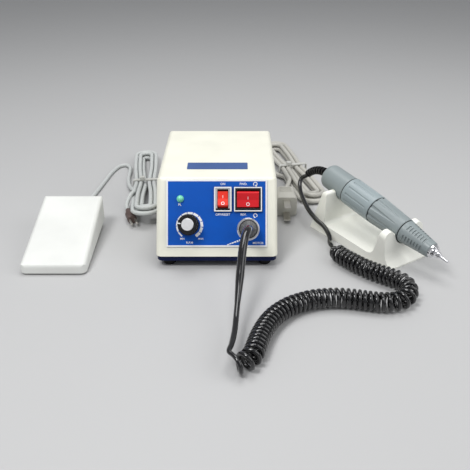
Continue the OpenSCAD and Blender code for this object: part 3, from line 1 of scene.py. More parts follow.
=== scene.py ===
"""Bench micromotor set: control box, foot pedal, handpiece in its cradle, and three cords."""
import logging
import math
from contextlib import contextmanager
from dataclasses import dataclass, field
from enum import Enum
from typing import ClassVar, Dict, Iterator, List, Optional, Sequence, Tuple, Union

import bpy
from mathutils import Matrix, Vector


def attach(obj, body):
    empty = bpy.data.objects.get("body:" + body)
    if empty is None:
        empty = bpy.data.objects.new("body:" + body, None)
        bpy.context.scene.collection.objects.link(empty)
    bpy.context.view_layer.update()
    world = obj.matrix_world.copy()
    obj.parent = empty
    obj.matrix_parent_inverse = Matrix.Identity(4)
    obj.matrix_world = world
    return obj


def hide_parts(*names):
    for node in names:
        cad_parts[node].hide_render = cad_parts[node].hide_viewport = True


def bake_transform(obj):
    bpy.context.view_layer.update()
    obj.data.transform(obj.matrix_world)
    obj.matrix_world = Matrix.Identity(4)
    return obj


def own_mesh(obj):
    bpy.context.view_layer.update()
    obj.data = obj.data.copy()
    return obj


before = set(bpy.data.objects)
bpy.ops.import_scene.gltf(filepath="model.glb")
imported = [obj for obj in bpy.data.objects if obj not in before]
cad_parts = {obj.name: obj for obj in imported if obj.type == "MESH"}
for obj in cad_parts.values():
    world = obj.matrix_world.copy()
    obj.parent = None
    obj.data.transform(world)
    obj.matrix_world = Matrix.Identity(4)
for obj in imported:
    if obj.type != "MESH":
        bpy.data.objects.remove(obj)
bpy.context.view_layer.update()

logging.basicConfig(level=logging.INFO, format="%(message)s")
log = logging.getLogger("micromotor")

Colour = Tuple[float, float, float]
Place = Tuple[float, float, float]
Spot = Tuple[float, float]
Piece = bpy.types.Object

MM = 0.001
WHITE: Colour = (1.0, 1.0, 1.0)
BLACK: Colour = (0.0, 0.0, 0.0)
ORIGIN: Place = (0.0, 0.0, 0.0)
UP: Place = (0.0, 0.0, 1.0)
# Parts of a turn, in degrees
HALF_TURN, QUARTER_TURN, EIGHTH_TURN = 180.0, 90.0, 45.0
# Direction out of the sloping panel, and the housing's face along it, in metres
PANEL_WAY: Place = (0.0, -0.88295, 0.46947)
PANEL_OUT = 0.06432
# Height over the housing at which the power switch frame turns pale; below it the frame is painted dark
# as shade inside its recess, in metres
FRAME_SHADE_TOP = 0.0024
# Width of a sharp change of colour, in metres
SHARP_STEP = 0.00005
# Sockets of a Mix node that mixes colours
MIX_A, MIX_B, MIX_OUT = 6, 7, 2
BEVEL_SAMPLES = 4
BEVEL_SEGMENTS = 2
# Height of a capital as a share of the letters' size
CAPITAL_SHARE = 0.72
LETTER_STEPS = 4
CORD_ROUNDING = 4
# Stretches between two points of a lead's route
LEAD_STEPS = 6
# Places along the middle line for each curl
PER_CURL = 8


def toned(colour: Colour, share: float, towards: Colour) -> Colour:
    """A colour that is part of the way to another."""
    return tuple(a + (b - a) * share for a, b in zip(colour, towards))


def polar(middle: Spot, radius: float, turn: float) -> Spot:
    """Point at a radius from a middle, in the direction of a turn in degrees."""
    angle = math.radians(turn)
    return middle[0] + radius * math.cos(angle), middle[1] + radius * math.sin(angle)


def eased(share: float) -> float:
    """A share from 0 to 1 that starts and ends gently."""
    return share * share * (3 - 2 * share)


class Body(str, Enum):
    """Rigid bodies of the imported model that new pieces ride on."""

    SET = "set"
    POWER = "power_rocker"
    DIRECTION = "direction_rocker"
    SPEED = "speed_control"
    HANDPIECE = "handpiece"


class Slot(str, Enum):
    """Material slots of the record."""

    WHITE = "white_plastic"
    BLACK = "black_plastic"
    GREY = "grey_plastic"
    RUBBER = "rubber"
    STEEL = "steel"
    BLACK_CORD = "black_cord"
    GREY_CORD = "grey_cord"


# Shader graphs


class Signal:
    """A node's output that takes part in sums, so that shader maths reads as Python."""

    def __init__(self, graph: "Graph", socket: bpy.types.NodeSocket) -> None:
        """Keep the socket and the graph that new nodes go into."""
        self.graph = graph
        self.socket = socket

    def __add__(self, other: "Value") -> "Signal":
        """Sum of two values."""
        return self.graph.math("ADD", self, other)

    __radd__ = __add__

    def __mul__(self, other: "Value") -> "Signal":
        """Product of two values."""
        return self.graph.math("MULTIPLY", self, other)

    __rmul__ = __mul__

    def __sub__(self, other: "Value") -> "Signal":
        """Difference of two values."""
        return self.graph.math("SUBTRACT", self, other)

    def __rsub__(self, other: "Value") -> "Signal":
        """Difference with this value taken away."""
        return self.graph.math("SUBTRACT", other, self)

    def clamp(self) -> "Signal":
        """This value held between 0 and 1."""
        return self.graph.math("ADD", self, 0.0, clamp=True)


Value = Union[Signal, float]
Tint = Union[Signal, Colour]
SocketKey = Union[str, int]


class Graph:
    """One material's nodes round a Principled shader."""

    def __init__(self, name: str) -> None:
        """Start an empty material.

        Args:
            name: the material's name.
        """
        self.material = bpy.data.materials.new(name)
        self.material.use_nodes = True
        self.tree = self.material.node_tree
        self.tree.nodes.clear()
        self.shader = self.tree.nodes.new("ShaderNodeBsdfPrincipled")
        output = self.tree.nodes.new("ShaderNodeOutputMaterial")
        self.tree.links.new(self.shader.outputs["BSDF"], output.inputs["Surface"])

    def plug(self, socket: bpy.types.NodeSocket, value: object) -> None:
        """Link a signal to a socket, or set the socket's own value.

        Args:
            socket: where it goes.
            value: a signal or a constant.
        """
        if isinstance(value, Signal):
            self.tree.links.new(value.socket, socket)
        else:
            socket.default_value = value

    def node(
        self,
        kind: str,
        out: SocketKey = 0,
        settings: Optional[Dict[str, object]] = None,
        inputs: Optional[Dict[SocketKey, object]] = None,
    ) -> Signal:
        """Add any node.

        Args:
            kind: the node's type.
            out: the output that is wanted.
            settings: the node's own settings, set before its sockets.
            inputs: values or signals of its sockets.

        Returns:
            The wanted output.
        """
        made = self.tree.nodes.new(kind)
        for key, value in (settings or {}).items():
            setattr(made, key, value)
        for key, value in (inputs or {}).items():
            self.plug(made.inputs[key], value)
        return Signal(self, made.outputs[out])

    def math(self, operation: str, one: Value, other: Value, clamp: bool = False) -> Signal:
        """Add one Math node on two values."""
        settings = {"operation": operation, "use_clamp": clamp}
        return self.node("ShaderNodeMath", 0, settings, {0: one, 1: other})

    def vector(self, operation: str, one: Signal, other: object = ORIGIN, out: SocketKey = 0) -> Signal:
        """Add one Vector Math node on two vectors."""
        return self.node("ShaderNodeVectorMath", out, {"operation": operation}, {0: one, 1: other})

    def here(self) -> Signal:
        """Object coordinates."""
        return self.node("ShaderNodeTexCoord", "Object")

    def past(self, way: Place, start: float) -> Signal:
        """1 beyond a plane and 0 before it, for a plane across a way at a distance in metres."""
        along = self.vector("DOT_PRODUCT", self.here(), way, "Value")
        return self.band(along, start, start + SHARP_STEP)

    def away(self, at: Place, way: Place) -> Signal:
        """Distance from an axis.

        Args:
            at: a point of the axis, in metres.
            way: the axis's direction, of length 1.

        Returns:
            The distance, in metres.
        """
        local = self.vector("SUBTRACT", self.here(), at)
        across = self.vector("CROSS_PRODUCT", local, way)
        return self.vector("LENGTH", across, out="Value")

    def noise(self, scale: float, detail: float = 2.0) -> Signal:
        """Noise between 0 and 1, with a number of features for each metre."""
        inputs = {"Vector": self.here(), "Scale": scale, "Detail": detail}
        return self.node("ShaderNodeTexNoise", "Fac", None, inputs)

    def band(self, value: Signal, low: float, high: float) -> Signal:
        """Map the range from low to high onto 0 to 1, held at both ends."""
        inputs = {"Value": value, "From Min": low, "From Max": high}
        return self.node("ShaderNodeMapRange", 0, {"clamp": True}, inputs)

    def blend(self, share: Value, one: Tint, other: Tint) -> Signal:
        """Mix two colours.

        Args:
            share: how much of the other colour shows.
            one: the colour at 0.
            other: the colour at 1.

        Returns:
            The mixed colour.
        """
        ends = [end if isinstance(end, Signal) else (*end, 1.0) for end in (one, other)]
        inputs = {0: share, MIX_A: ends[0], MIX_B: ends[1]}
        return self.node("ShaderNodeMix", MIX_OUT, {"data_type": "RGBA"}, inputs)

    def edges(self, radius: float) -> Tuple[Signal, Signal]:
        """Rounded normals and a mask of sharp edges.

        Args:
            radius: rounding in metres.

        Returns:
            The rounded normal, and a value that rises towards an edge.
        """
        soft = self.node("ShaderNodeBevel", 0, {"samples": BEVEL_SAMPLES}, {"Radius": radius})
        flat = self.node("ShaderNodeNewGeometry", "Normal")
        same = self.vector("DOT_PRODUCT", soft, flat, "Value")
        return soft, (1.0 - same).clamp()

    def relief(self, height: Signal, depth: float, normal: Optional[Signal] = None) -> Signal:
        """Bump from a height.

        Args:
            height: the height, from 0 to 1.
            depth: how deep the whole range is, in metres.
            normal: the normal that it lies on, where that isn't the mesh's own.

        Returns:
            The new normal.
        """
        inputs = {"Height": height, "Strength": 1.0, "Distance": depth}
        if normal is not None:
            inputs["Normal"] = normal
        return self.node("ShaderNodeBump", 0, None, inputs)

    def dress(self, **sockets: object) -> bpy.types.Material:
        """Fill the shader's sockets.

        Args:
            sockets: values or signals, with _ for a space in the socket's name.

        Returns:
            The finished material.
        """
        for key, value in sockets.items():
            self.plug(self.shader.inputs[key.replace("_", " ")], value)
        return self.material


# Finishes


@dataclass(frozen=True)
class Patches:
    """Noise drawn out into patches with soft edges."""

    scale: float
    detail: float
    low: float
    high: float

    def mask(self, graph: Graph) -> Signal:
        """1 inside the patches and 0 outside them."""
        return graph.band(graph.noise(self.scale, self.detail), self.low, self.high)


@dataclass(frozen=True)
class Finish:
    """A finish with a name and a main colour."""

    name: str
    colour: Colour

    def layers(self, graph: Graph) -> Dict[str, object]:
        """Values and signals of the shader's sockets."""
        raise NotImplementedError

    def make(self) -> bpy.types.Material:
        """Build the material."""
        graph = Graph(self.name)
        return graph.dress(**self.layers(graph))


@dataclass(frozen=True)
class MouldedPlastic(Finish):
    """Moulded plastic with a spark-eroded grain, faint flow marks and rubbed edges."""

    rough: float = 0.42
    wear: float = 0.3
    gloss: float = 0.4
    grain: float = 2200.0
    depth: float = 0.00001
    rounding: float = 0.0005
    flow: Patches = Patches(28.0, 3.0, 0.35, 0.7)
    flow_tone: float = 0.07
    flow_polish: float = 0.05
    smudge: Patches = Patches(140.0, 4.0, 0.45, 0.75)
    smudge_rough: float = 0.1
    rubbed: Spot = (0.02, 0.25)
    least_worn: float = 0.35

    def layers(self, graph: Graph) -> Dict[str, object]:
        """Values and signals of the shader's sockets.

        Args:
            graph: the material's graph.

        Returns:
            What goes into each socket.
        """
        normal, edge = graph.edges(self.rounding)
        flow, smudge = self.flow.mask(graph), self.smudge.mask(graph)
        body = graph.blend(flow, self.colour, toned(self.colour, self.flow_tone, BLACK))
        worn = graph.band(edge, *self.rubbed) * (self.least_worn + (1 - self.least_worn) * smudge)
        return {
            "Base_Color": graph.blend(worn, body, toned(self.colour, self.wear, WHITE)),
            "Roughness": self.rough + self.smudge_rough * smudge - self.flow_polish * flow,
            "Normal": graph.relief(graph.noise(self.grain), self.depth, normal),
            "Specular_IOR_Level": self.gloss,
        }


@dataclass(frozen=True)
class SplitPlastic(MouldedPlastic):
    """Moulded plastic that ends at a plane, past which another colour or bare metal shows."""

    way: Place = UP
    start: float = 0.0
    other: Colour = (0.62, 0.6, 0.55)
    bare: bool = True

    def layers(self, graph: Graph) -> Dict[str, object]:
        """Values and signals of the shader's sockets.

        Args:
            graph: the material's graph.

        Returns:
            What goes into each socket.
        """
        sockets = super().layers(graph)
        past = graph.past(self.way, self.start)
        sockets["Base_Color"] = graph.blend(past, sockets["Base_Color"], self.other)
        if self.bare:
            sockets["Metallic"] = past
        return sockets


@dataclass(frozen=True)
class SideShadedPlastic(MouldedPlastic):
    """Speckled plastic, made almost black away from its axis by painted shade on its side wall."""

    at: Place = ORIGIN
    way: Place = UP
    rim: float = 0.0
    fade: float = 0.0004
    side_shade_tone: float = 0.9
    specks: Patches = Patches(1500.0, 1.0, 0.5, 0.68)
    speck_share: float = 0.6
    speck_tone: float = 0.3

    def layers(self, graph: Graph) -> Dict[str, object]:
        """Values and signals of the shader's sockets.

        Args:
            graph: the material's graph.

        Returns:
            What goes into each socket.
        """
        sockets = super().layers(graph)
        specks = self.speck_share * self.specks.mask(graph)
        face = graph.blend(specks, sockets["Base_Color"], toned(self.colour, self.speck_tone, WHITE))
        # Painted shade: the side wall away from the axis is darkened almost to black.
        outside = graph.band(graph.away(self.at, self.way), self.rim, self.rim + self.fade)
        sockets["Base_Color"] = graph.blend(outside, face, toned(self.colour, self.side_shade_tone, BLACK))
        return sockets


@dataclass(frozen=True)
class PrintedFilm(Finish):
    """A screen-printed film with a fine texture and a slight unevenness of ink."""

    rough: float = 0.38
    gloss: float = 0.2
    ink: Patches = Patches(60.0, 4.0, 0.3, 0.75)
    ink_change: float = 0.12
    texture: Spot = (3600.0, 1.0)
    depth: float = 0.000006

    def layers(self, graph: Graph) -> Dict[str, object]:
        """Values and signals of the shader's sockets.

        Args:
            graph: the material's graph.

        Returns:
            What goes into each socket.
        """
        uneven = self.ink.mask(graph)
        return {
            "Base_Color": graph.blend(uneven, self.colour, toned(self.colour, self.ink_change, BLACK)),
            "Roughness": self.rough + self.ink_change * uneven,
            "Normal": graph.relief(graph.noise(*self.texture), self.depth),
            "Specular_IOR_Level": self.gloss,
        }


@dataclass(frozen=True)
class CordSkin(Finish):
    """Extruded cord sheath, slightly uneven along its length, with dust on it."""

    dust: Colour
    rough: float
    coat: float
    waves: float
    wave_scale: float = 700.0
    patches: Patches = Patches(260.0, 5.0, 0.5, 0.8)
    dust_share: float = 0.35
    dust_rough: float = 0.2
    coat_rough: float = 0.05
    gloss: float = 0.25

    def layers(self, graph: Graph) -> Dict[str, object]:
        """Values and signals of the shader's sockets.

        Args:
            graph: the material's graph.

        Returns:
            What goes into each socket.
        """
        dusty = self.patches.mask(graph)
        return {
            "Base_Color": graph.blend(self.dust_share * dusty, self.colour, self.dust),
            "Roughness": self.rough + self.dust_rough * dusty,
            "Normal": graph.relief(graph.noise(self.wave_scale), self.waves),
            "Coat_Weight": self.coat,
            "Coat_Roughness": self.coat_rough,
            "Specular_IOR_Level": self.gloss,
        }


@dataclass(frozen=True)
class TurnedMetal(Finish):
    """Bright metal with fine tool marks and faint stains."""

    rough: float
    tool: Spot = (900.0, 3.0)
    tool_rough: float = 0.14
    tool_depth: float = 0.000008
    stain: Patches = Patches(90.0, 4.0, 0.4, 0.8)
    stain_share: float = 0.6
    stain_tone: float = 0.28
    stain_rough: float = 0.08

    def layers(self, graph: Graph) -> Dict[str, object]:
        """Values and signals of the shader's sockets.

        Args:
            graph: the material's graph.

        Returns:
            What goes into each socket.
        """
        marks, stain = self.marks(graph), self.stain.mask(graph)
        stained = toned(self.colour, self.stain_tone, BLACK)
        return {
            "Base_Color": graph.blend(self.stain_share * stain, self.colour, stained),
            "Metallic": 1.0,
            "Roughness": self.rough + self.tool_rough * marks + self.stain_rough * stain,
            "Normal": graph.relief(marks, self.tool_depth),
        }

    def marks(self, graph: Graph) -> Signal:
        """Height of the tool marks."""
        return graph.noise(*self.tool)


@dataclass(frozen=True)
class SpunMetal(TurnedMetal):
    """Metal with tool marks in rings round an axis."""

    middle: Place = ORIGIN
    lean: float = 0.0
    rings: float = 260.0
    waver: float = 0.6
    detail: float = 1.0

    def marks(self, graph: Graph) -> Signal:
        """Height of the rings.

        Args:
            graph: the material's graph.

        Returns:
            The height, from 0 to 1.
        """
        inputs = {"Vector": graph.here(), "Location": self.middle, "Rotation": (self.lean, 0.0, 0.0)}
        local = graph.node("ShaderNodeMapping", 0, {"vector_type": "TEXTURE"}, inputs)
        kind = {"wave_type": "RINGS", "rings_direction": "Z"}
        inputs = {"Vector": local, "Scale": self.rings, "Distortion": self.waver, "Detail": self.detail}
        return graph.node("ShaderNodeTexWave", "Fac", kind, inputs)


@dataclass(frozen=True)
class LampLens(Finish):
    """Tinted lens of a small lamp, moulded in facets, with painted glints that lighten each facet
    towards its edges.
    """

    core: Colour
    facets: float = 620.0
    glint_band: Spot = (0.15, 0.75)
    rough: float = 0.1
    facet_rough: float = 0.1
    depth: float = 0.00012
    coat: float = 0.8

    def layers(self, graph: Graph) -> Dict[str, object]:
        """Values and signals of the shader's sockets.

        Args:
            graph: the material's graph.

        Returns:
            What goes into each socket.
        """
        inputs = {"Vector": graph.here(), "Scale": self.facets}
        facet = graph.node("ShaderNodeTexVoronoi", "Distance", {"feature": "F1"}, inputs)
        return {
            # Painted glints: each facet is lighter towards its edges.
            "Base_Color": graph.blend(graph.band(facet, *self.glint_band), self.core, self.colour),
            "Roughness": self.rough + self.facet_rough * facet,
            "Normal": graph.relief(facet, self.depth),
            "Coat_Weight": self.coat,
        }


@dataclass(frozen=True)
class PlainFloor(Finish):
    """Pale sweep under the set."""

    clouds: float = 3.0
    cloud_tone: float = 0.03
    rough: float = 0.55
    rough_change: float = 0.1
    rough_scale: float = 40.0

    def layers(self, graph: Graph) -> Dict[str, object]:
        """Values and signals of the shader's sockets.

        Args:
            graph: the material's graph.

        Returns:
            What goes into each socket.
        """
        cloudy = toned(self.colour, self.cloud_tone, BLACK)
        return {
            "Base_Color": graph.blend(graph.noise(self.clouds), self.colour, cloudy),
            "Roughness": self.rough + self.rough_change * graph.noise(self.rough_scale),
        }


class Coat(Enum):
    """Every finish of the set."""

    CREAM = MouldedPlastic("cream_shell", (0.85, 0.84, 0.73), 0.36)
    WHITE = MouldedPlastic("white_shell", (0.78, 0.79, 0.76), 0.4)
    IVORY = MouldedPlastic("cradle_ivory", (0.93, 0.93, 0.86), 0.34)
    # Navy tray: its colour is partly the plate's own navy and partly painted shade, made darker as the
    # plate lies in shade under the housing.
    NAVY = MouldedPlastic("navy_tray", (0.004, 0.01, 0.055), 0.45, 0.03, 0.15)
    BLACK = MouldedPlastic("black_mould", (0.01, 0.01, 0.011), 0.2, 0.05, 0.45)
    # Motor plug: the black round its face is painted shade on its side wall.
    DARK = SideShadedPlastic(
        "plug_dark_grey", (0.075, 0.077, 0.08), 0.4, 0.1, 0.3,
        at=(0.0141, -0.05606, 0.03158), way=PANEL_WAY, rim=0.0067)
    GREY = MouldedPlastic("grey_mould", (0.36, 0.37, 0.38))
    # Power switch frame: the black below the plane is painted shade inside its recess; the pale grey
    # above is the frame's own colour.
    FRAME = SplitPlastic(
        "switch_frame_grey_painted_shade", (0.008, 0.008, 0.008), 0.35, 0.1, 0.2,
        way=PANEL_WAY, start=PANEL_OUT + FRAME_SHADE_TOP, other=(0.42, 0.41, 0.42), bare=False)
    ORANGE = MouldedPlastic("orange_rocker", (0.88, 0.045, 0.025), 0.38, 0.15, 0.25)
    RED = MouldedPlastic("red_rocker", (0.7, 0.018, 0.026), 0.34, 0.15, 0.25)
    HAND = MouldedPlastic("handpiece_grey", (0.265, 0.305, 0.312), 0.34, 0.2)
    SLEEVE = MouldedPlastic("sleeve_grey", (0.31, 0.365, 0.38), 0.32, 0.2)
    BROWN = SplitPlastic(
        "plug_brown", (0.1, 0.066, 0.058), way=(0.33381, -0.94264, 0.0), start=-0.04624)
    PALE = SplitPlastic("mains_plug_grey", (0.6, 0.59, 0.54), way=(0.0, -1.0, 0.0), start=-0.0329)
    TIE = MouldedPlastic("tie_grey", (0.55, 0.55, 0.52))
    BOARD = MouldedPlastic("board_green", (0.01, 0.1, 0.03))
    RUBBER = MouldedPlastic("rubber_black", (0.012, 0.012, 0.012), 0.6, 0.03, 0.2)
    PANEL = PrintedFilm("panel_film", (0.002, 0.09, 0.48))
    LABEL = PrintedFilm("label_film", (0.055, 0.11, 0.29), 0.3)
    INK = PrintedFilm("white_ink", (0.9, 0.9, 0.9))
    STEEL = TurnedMetal("steel", (0.62, 0.62, 0.63), 0.3)
    RING = TurnedMetal("socket_ring", (0.92, 0.92, 0.94), 0.2)
    CHROME = TurnedMetal("chrome", (0.82, 0.83, 0.85), 0.08)
    CAP = SpunMetal(
        "spun_cap", (0.95, 0.95, 0.96), 0.36, middle=(-0.0364, -0.0667, 0.0414), lean=1.08211)
    COPPER = TurnedMetal("copper", (0.72, 0.36, 0.18), 0.3)
    MAGNET = TurnedMetal("magnet", (0.12, 0.12, 0.13), 0.5)
    LENS = LampLens("green_lens", (0.01, 0.2, 0.08), (0.07, 0.4, 0.2))
    BLACK_CORD = CordSkin(
        "black_sheath", (0.004, 0.004, 0.005), (0.015, 0.015, 0.015), 0.14, 1.0, 0.000006)
    PEDAL_CORD = CordSkin("pedal_sheath", (0.55, 0.57, 0.56), (0.42, 0.42, 0.4), 0.4, 0.0, 0.00003)
    MAINS_CORD = CordSkin("mains_sheath", (0.5, 0.49, 0.45), (0.38, 0.37, 0.34), 0.42, 0.0, 0.00003)
    FLOOR = PlainFloor("pale_floor", (0.5, 0.5, 0.5))

    @property
    def material(self) -> bpy.types.Material:
        """The finish as a material, which is made when it is first asked for."""
        return bpy.data.materials.get(self.value.name) or self.value.make()


# Modelling by hand


class Bench:
    """Steps of modelling with Blender's own operators, with sizes in millimetres."""

    @staticmethod
    def clear() -> None:
        """Deselect everything."""
        if bpy.context.mode != "OBJECT":
            bpy.ops.object.mode_set(mode="OBJECT")
        bpy.ops.object.select_all(action="DESELECT")

    @staticmethod
    def only(piece: Piece) -> None:
        """Select one object and make it active.

        Args:
            piece: the object.
        """
        Bench.clear()
        piece.select_set(True)
        bpy.context.view_layer.objects.active = piece

    @staticmethod
    def named(name: str) -> Piece:
        """Name the active object and its data.

        Args:
            name: the name.

        Returns:
            The object.
        """
        piece = bpy.context.view_layer.objects.active
        piece.name = name
        piece.data.name = name
        return piece

    @staticmethod
    def settle(piece: Piece, place: Matrix) -> Piece:
        """Put an object's place into its mesh, and the object at the origin.

        Args:
            piece: the object.
            place: where it goes, in metres.

        Returns:
            The object.
        """
        piece.data.transform(place @ piece.matrix_basis)
        piece.matrix_basis = Matrix.Identity(4)
        return piece

    @staticmethod
    def copied(piece: Piece) -> Piece:
        """Copy an object, with a mesh of its own.

        Args:
            piece: the object.

        Returns:
            The copy.
        """
        twin = piece.copy()
        twin.data = piece.data.copy()
        bpy.context.scene.collection.objects.link(twin)
        return twin

    @staticmethod
    def joined(parts: Sequence[Piece], name: str) -> Piece:
        """Join several meshes in one.

        Args:
            parts: the meshes.
            name: the new piece's name.

        Returns:
            The piece.
        """
        Bench.only(parts[0])
        for part in parts[1:]:
            part.select_set(True)
        if len(parts) > 1:
            bpy.ops.object.join()
        return Bench.named(name)

    @staticmethod
    def applied(piece: Piece, kind: str, **settings: object) -> None:
        """Add a modifier and apply it.

        Args:
            piece: the object.
            kind: the modifier's type.
            settings: the modifier's settings.
        """
        Bench.only(piece)
        modifier = piece.modifiers.new(kind.lower(), kind)
        for key, value in settings.items():
            setattr(modifier, key, value)
        bpy.ops.object.modifier_apply(modifier=modifier.name)

    @staticmethod
    def bevelled(piece: Piece, width: float) -> None:
        """Round every edge by a width."""
        Bench.applied(piece, "BEVEL", width=width * MM, segments=BEVEL_SEGMENTS)

    @staticmethod
    @contextmanager
    def editing(piece: Piece) -> Iterator[None]:
        """Edit mode with all of a mesh selected, which turns its faces outwards at the end.

        Args:
            piece: the object.

        Yields:
            Nothing, while the mesh is edited.
        """
        Bench.only(piece)
        bpy.ops.object.mode_set(mode="EDIT")
        bpy.ops.mesh.select_all(action="SELECT")
        yield
        bpy.ops.mesh.select_all(action="SELECT")
        bpy.ops.mesh.normals_make_consistent(inside=False)
        bpy.ops.object.mode_set(mode="OBJECT")

    @staticmethod
    def sheet(width: float, height: float) -> Piece:
        """A flat oblong round the origin.

        Args:
            width: its size along X.
            height: its size along Y.

        Returns:
            The sheet.
        """
        Bench.clear()
        bpy.ops.mesh.primitive_plane_add(size=1.0)
        piece = Bench.named("sheet")
        piece.data.transform(Matrix.Diagonal((width * MM, height * MM, 1.0, 1.0)))
        return piece

    @staticmethod
    def disc(radius: float, corners: int, fill: str = "NGON") -> Piece:
        """A flat regular face round the origin.

        Args:
            radius: how far its corners are from the origin.
            corners: how many it has.
            fill: how the circle is filled.

        Returns:
            The face.
        """
        Bench.clear()
        bpy.ops.mesh.primitive_circle_add(vertices=corners, radius=radius * MM, fill_type=fill)
        return Bench.named("disc")

    @staticmethod
    def raised(piece: Piece, rise: float, line: float = 0.0) -> Piece:
        """Draw a flat face out along its normal, or only its outline.

        Args:
            piece: the flat mesh.
            rise: how far it is drawn out.
            line: width of the outline, or 0 for the whole face.

        Returns:
            The plate or the outline.
        """
        with Bench.editing(piece):
            if line:
                bpy.ops.mesh.inset(thickness=line * MM, depth=0.0)
                bpy.ops.mesh.delete(type="FACE")
                bpy.ops.mesh.select_all(action="SELECT")
            bpy.ops.mesh.extrude_region_move(TRANSFORM_OT_translate={"value": (0.0, 0.0, rise * MM)})
        return piece

    @staticmethod
    def words(text: str, height: float, rise: float, bold: float) -> Piece:
        """Lettering as a mesh, centred on the origin.

        Args:
            text: what it says.
            height: height of a capital.
            rise: thickness of the ink.
            bold: how much each stroke swells.

        Returns:
            The lettering.
        """
        Bench.clear()
        bpy.ops.object.text_add(location=ORIGIN)
        data = bpy.context.view_layer.objects.active.data
        data.body = text
        data.size = height * MM / CAPITAL_SHARE
        data.align_x = "CENTER"
        data.align_y = "CENTER"
        data.extrude = rise * MM / 2
        data.offset = bold * MM
        data.resolution_u = LETTER_STEPS
        bpy.ops.object.convert(target="MESH")
        piece = Bench.named("words")
        piece.data.transform(Matrix.Translation((0.0, 0.0, rise * MM / 2)))
        return piece


def coated(piece: Piece, coat: Coat) -> None:
    """Give a piece one finish all over."""
    piece.data.materials.clear()
    piece.data.materials.append(coat.material)


def finished(piece: Piece, body: Body, coat: Coat) -> Piece:
    """Give a new piece its finish and body.

    Args:
        piece: the new piece, in place.
        body: what it rides on.
        coat: its finish.

    Returns:
        The piece.
    """
    coated(piece, coat)
    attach(piece, body.value)
    log.info("piece %s on %s", piece.name, body.value)
    return piece


# Sub-assemblies


@dataclass
class SubAssembly:
    """A group of CAD nodes with the finishes that they take, in millimetres and degrees."""

    coats: ClassVar[Dict[Coat, Sequence[str]]] = {}

    def dress(self) -> None:
        """Give each CAD node its finish."""
        for coat, nodes in self.coats.items():
            for name in nodes:
                coated(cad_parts[name], coat)
                log.info("node %s in %s", name, coat.value.name)


@dataclass(frozen=True)
class Switch:
    """A rocker switch: its place on the panel, its width, how it tips and where its ring is."""

    name: str
    body: Body
    at: Spot
    width: float
    tip: float
    ring_low: float


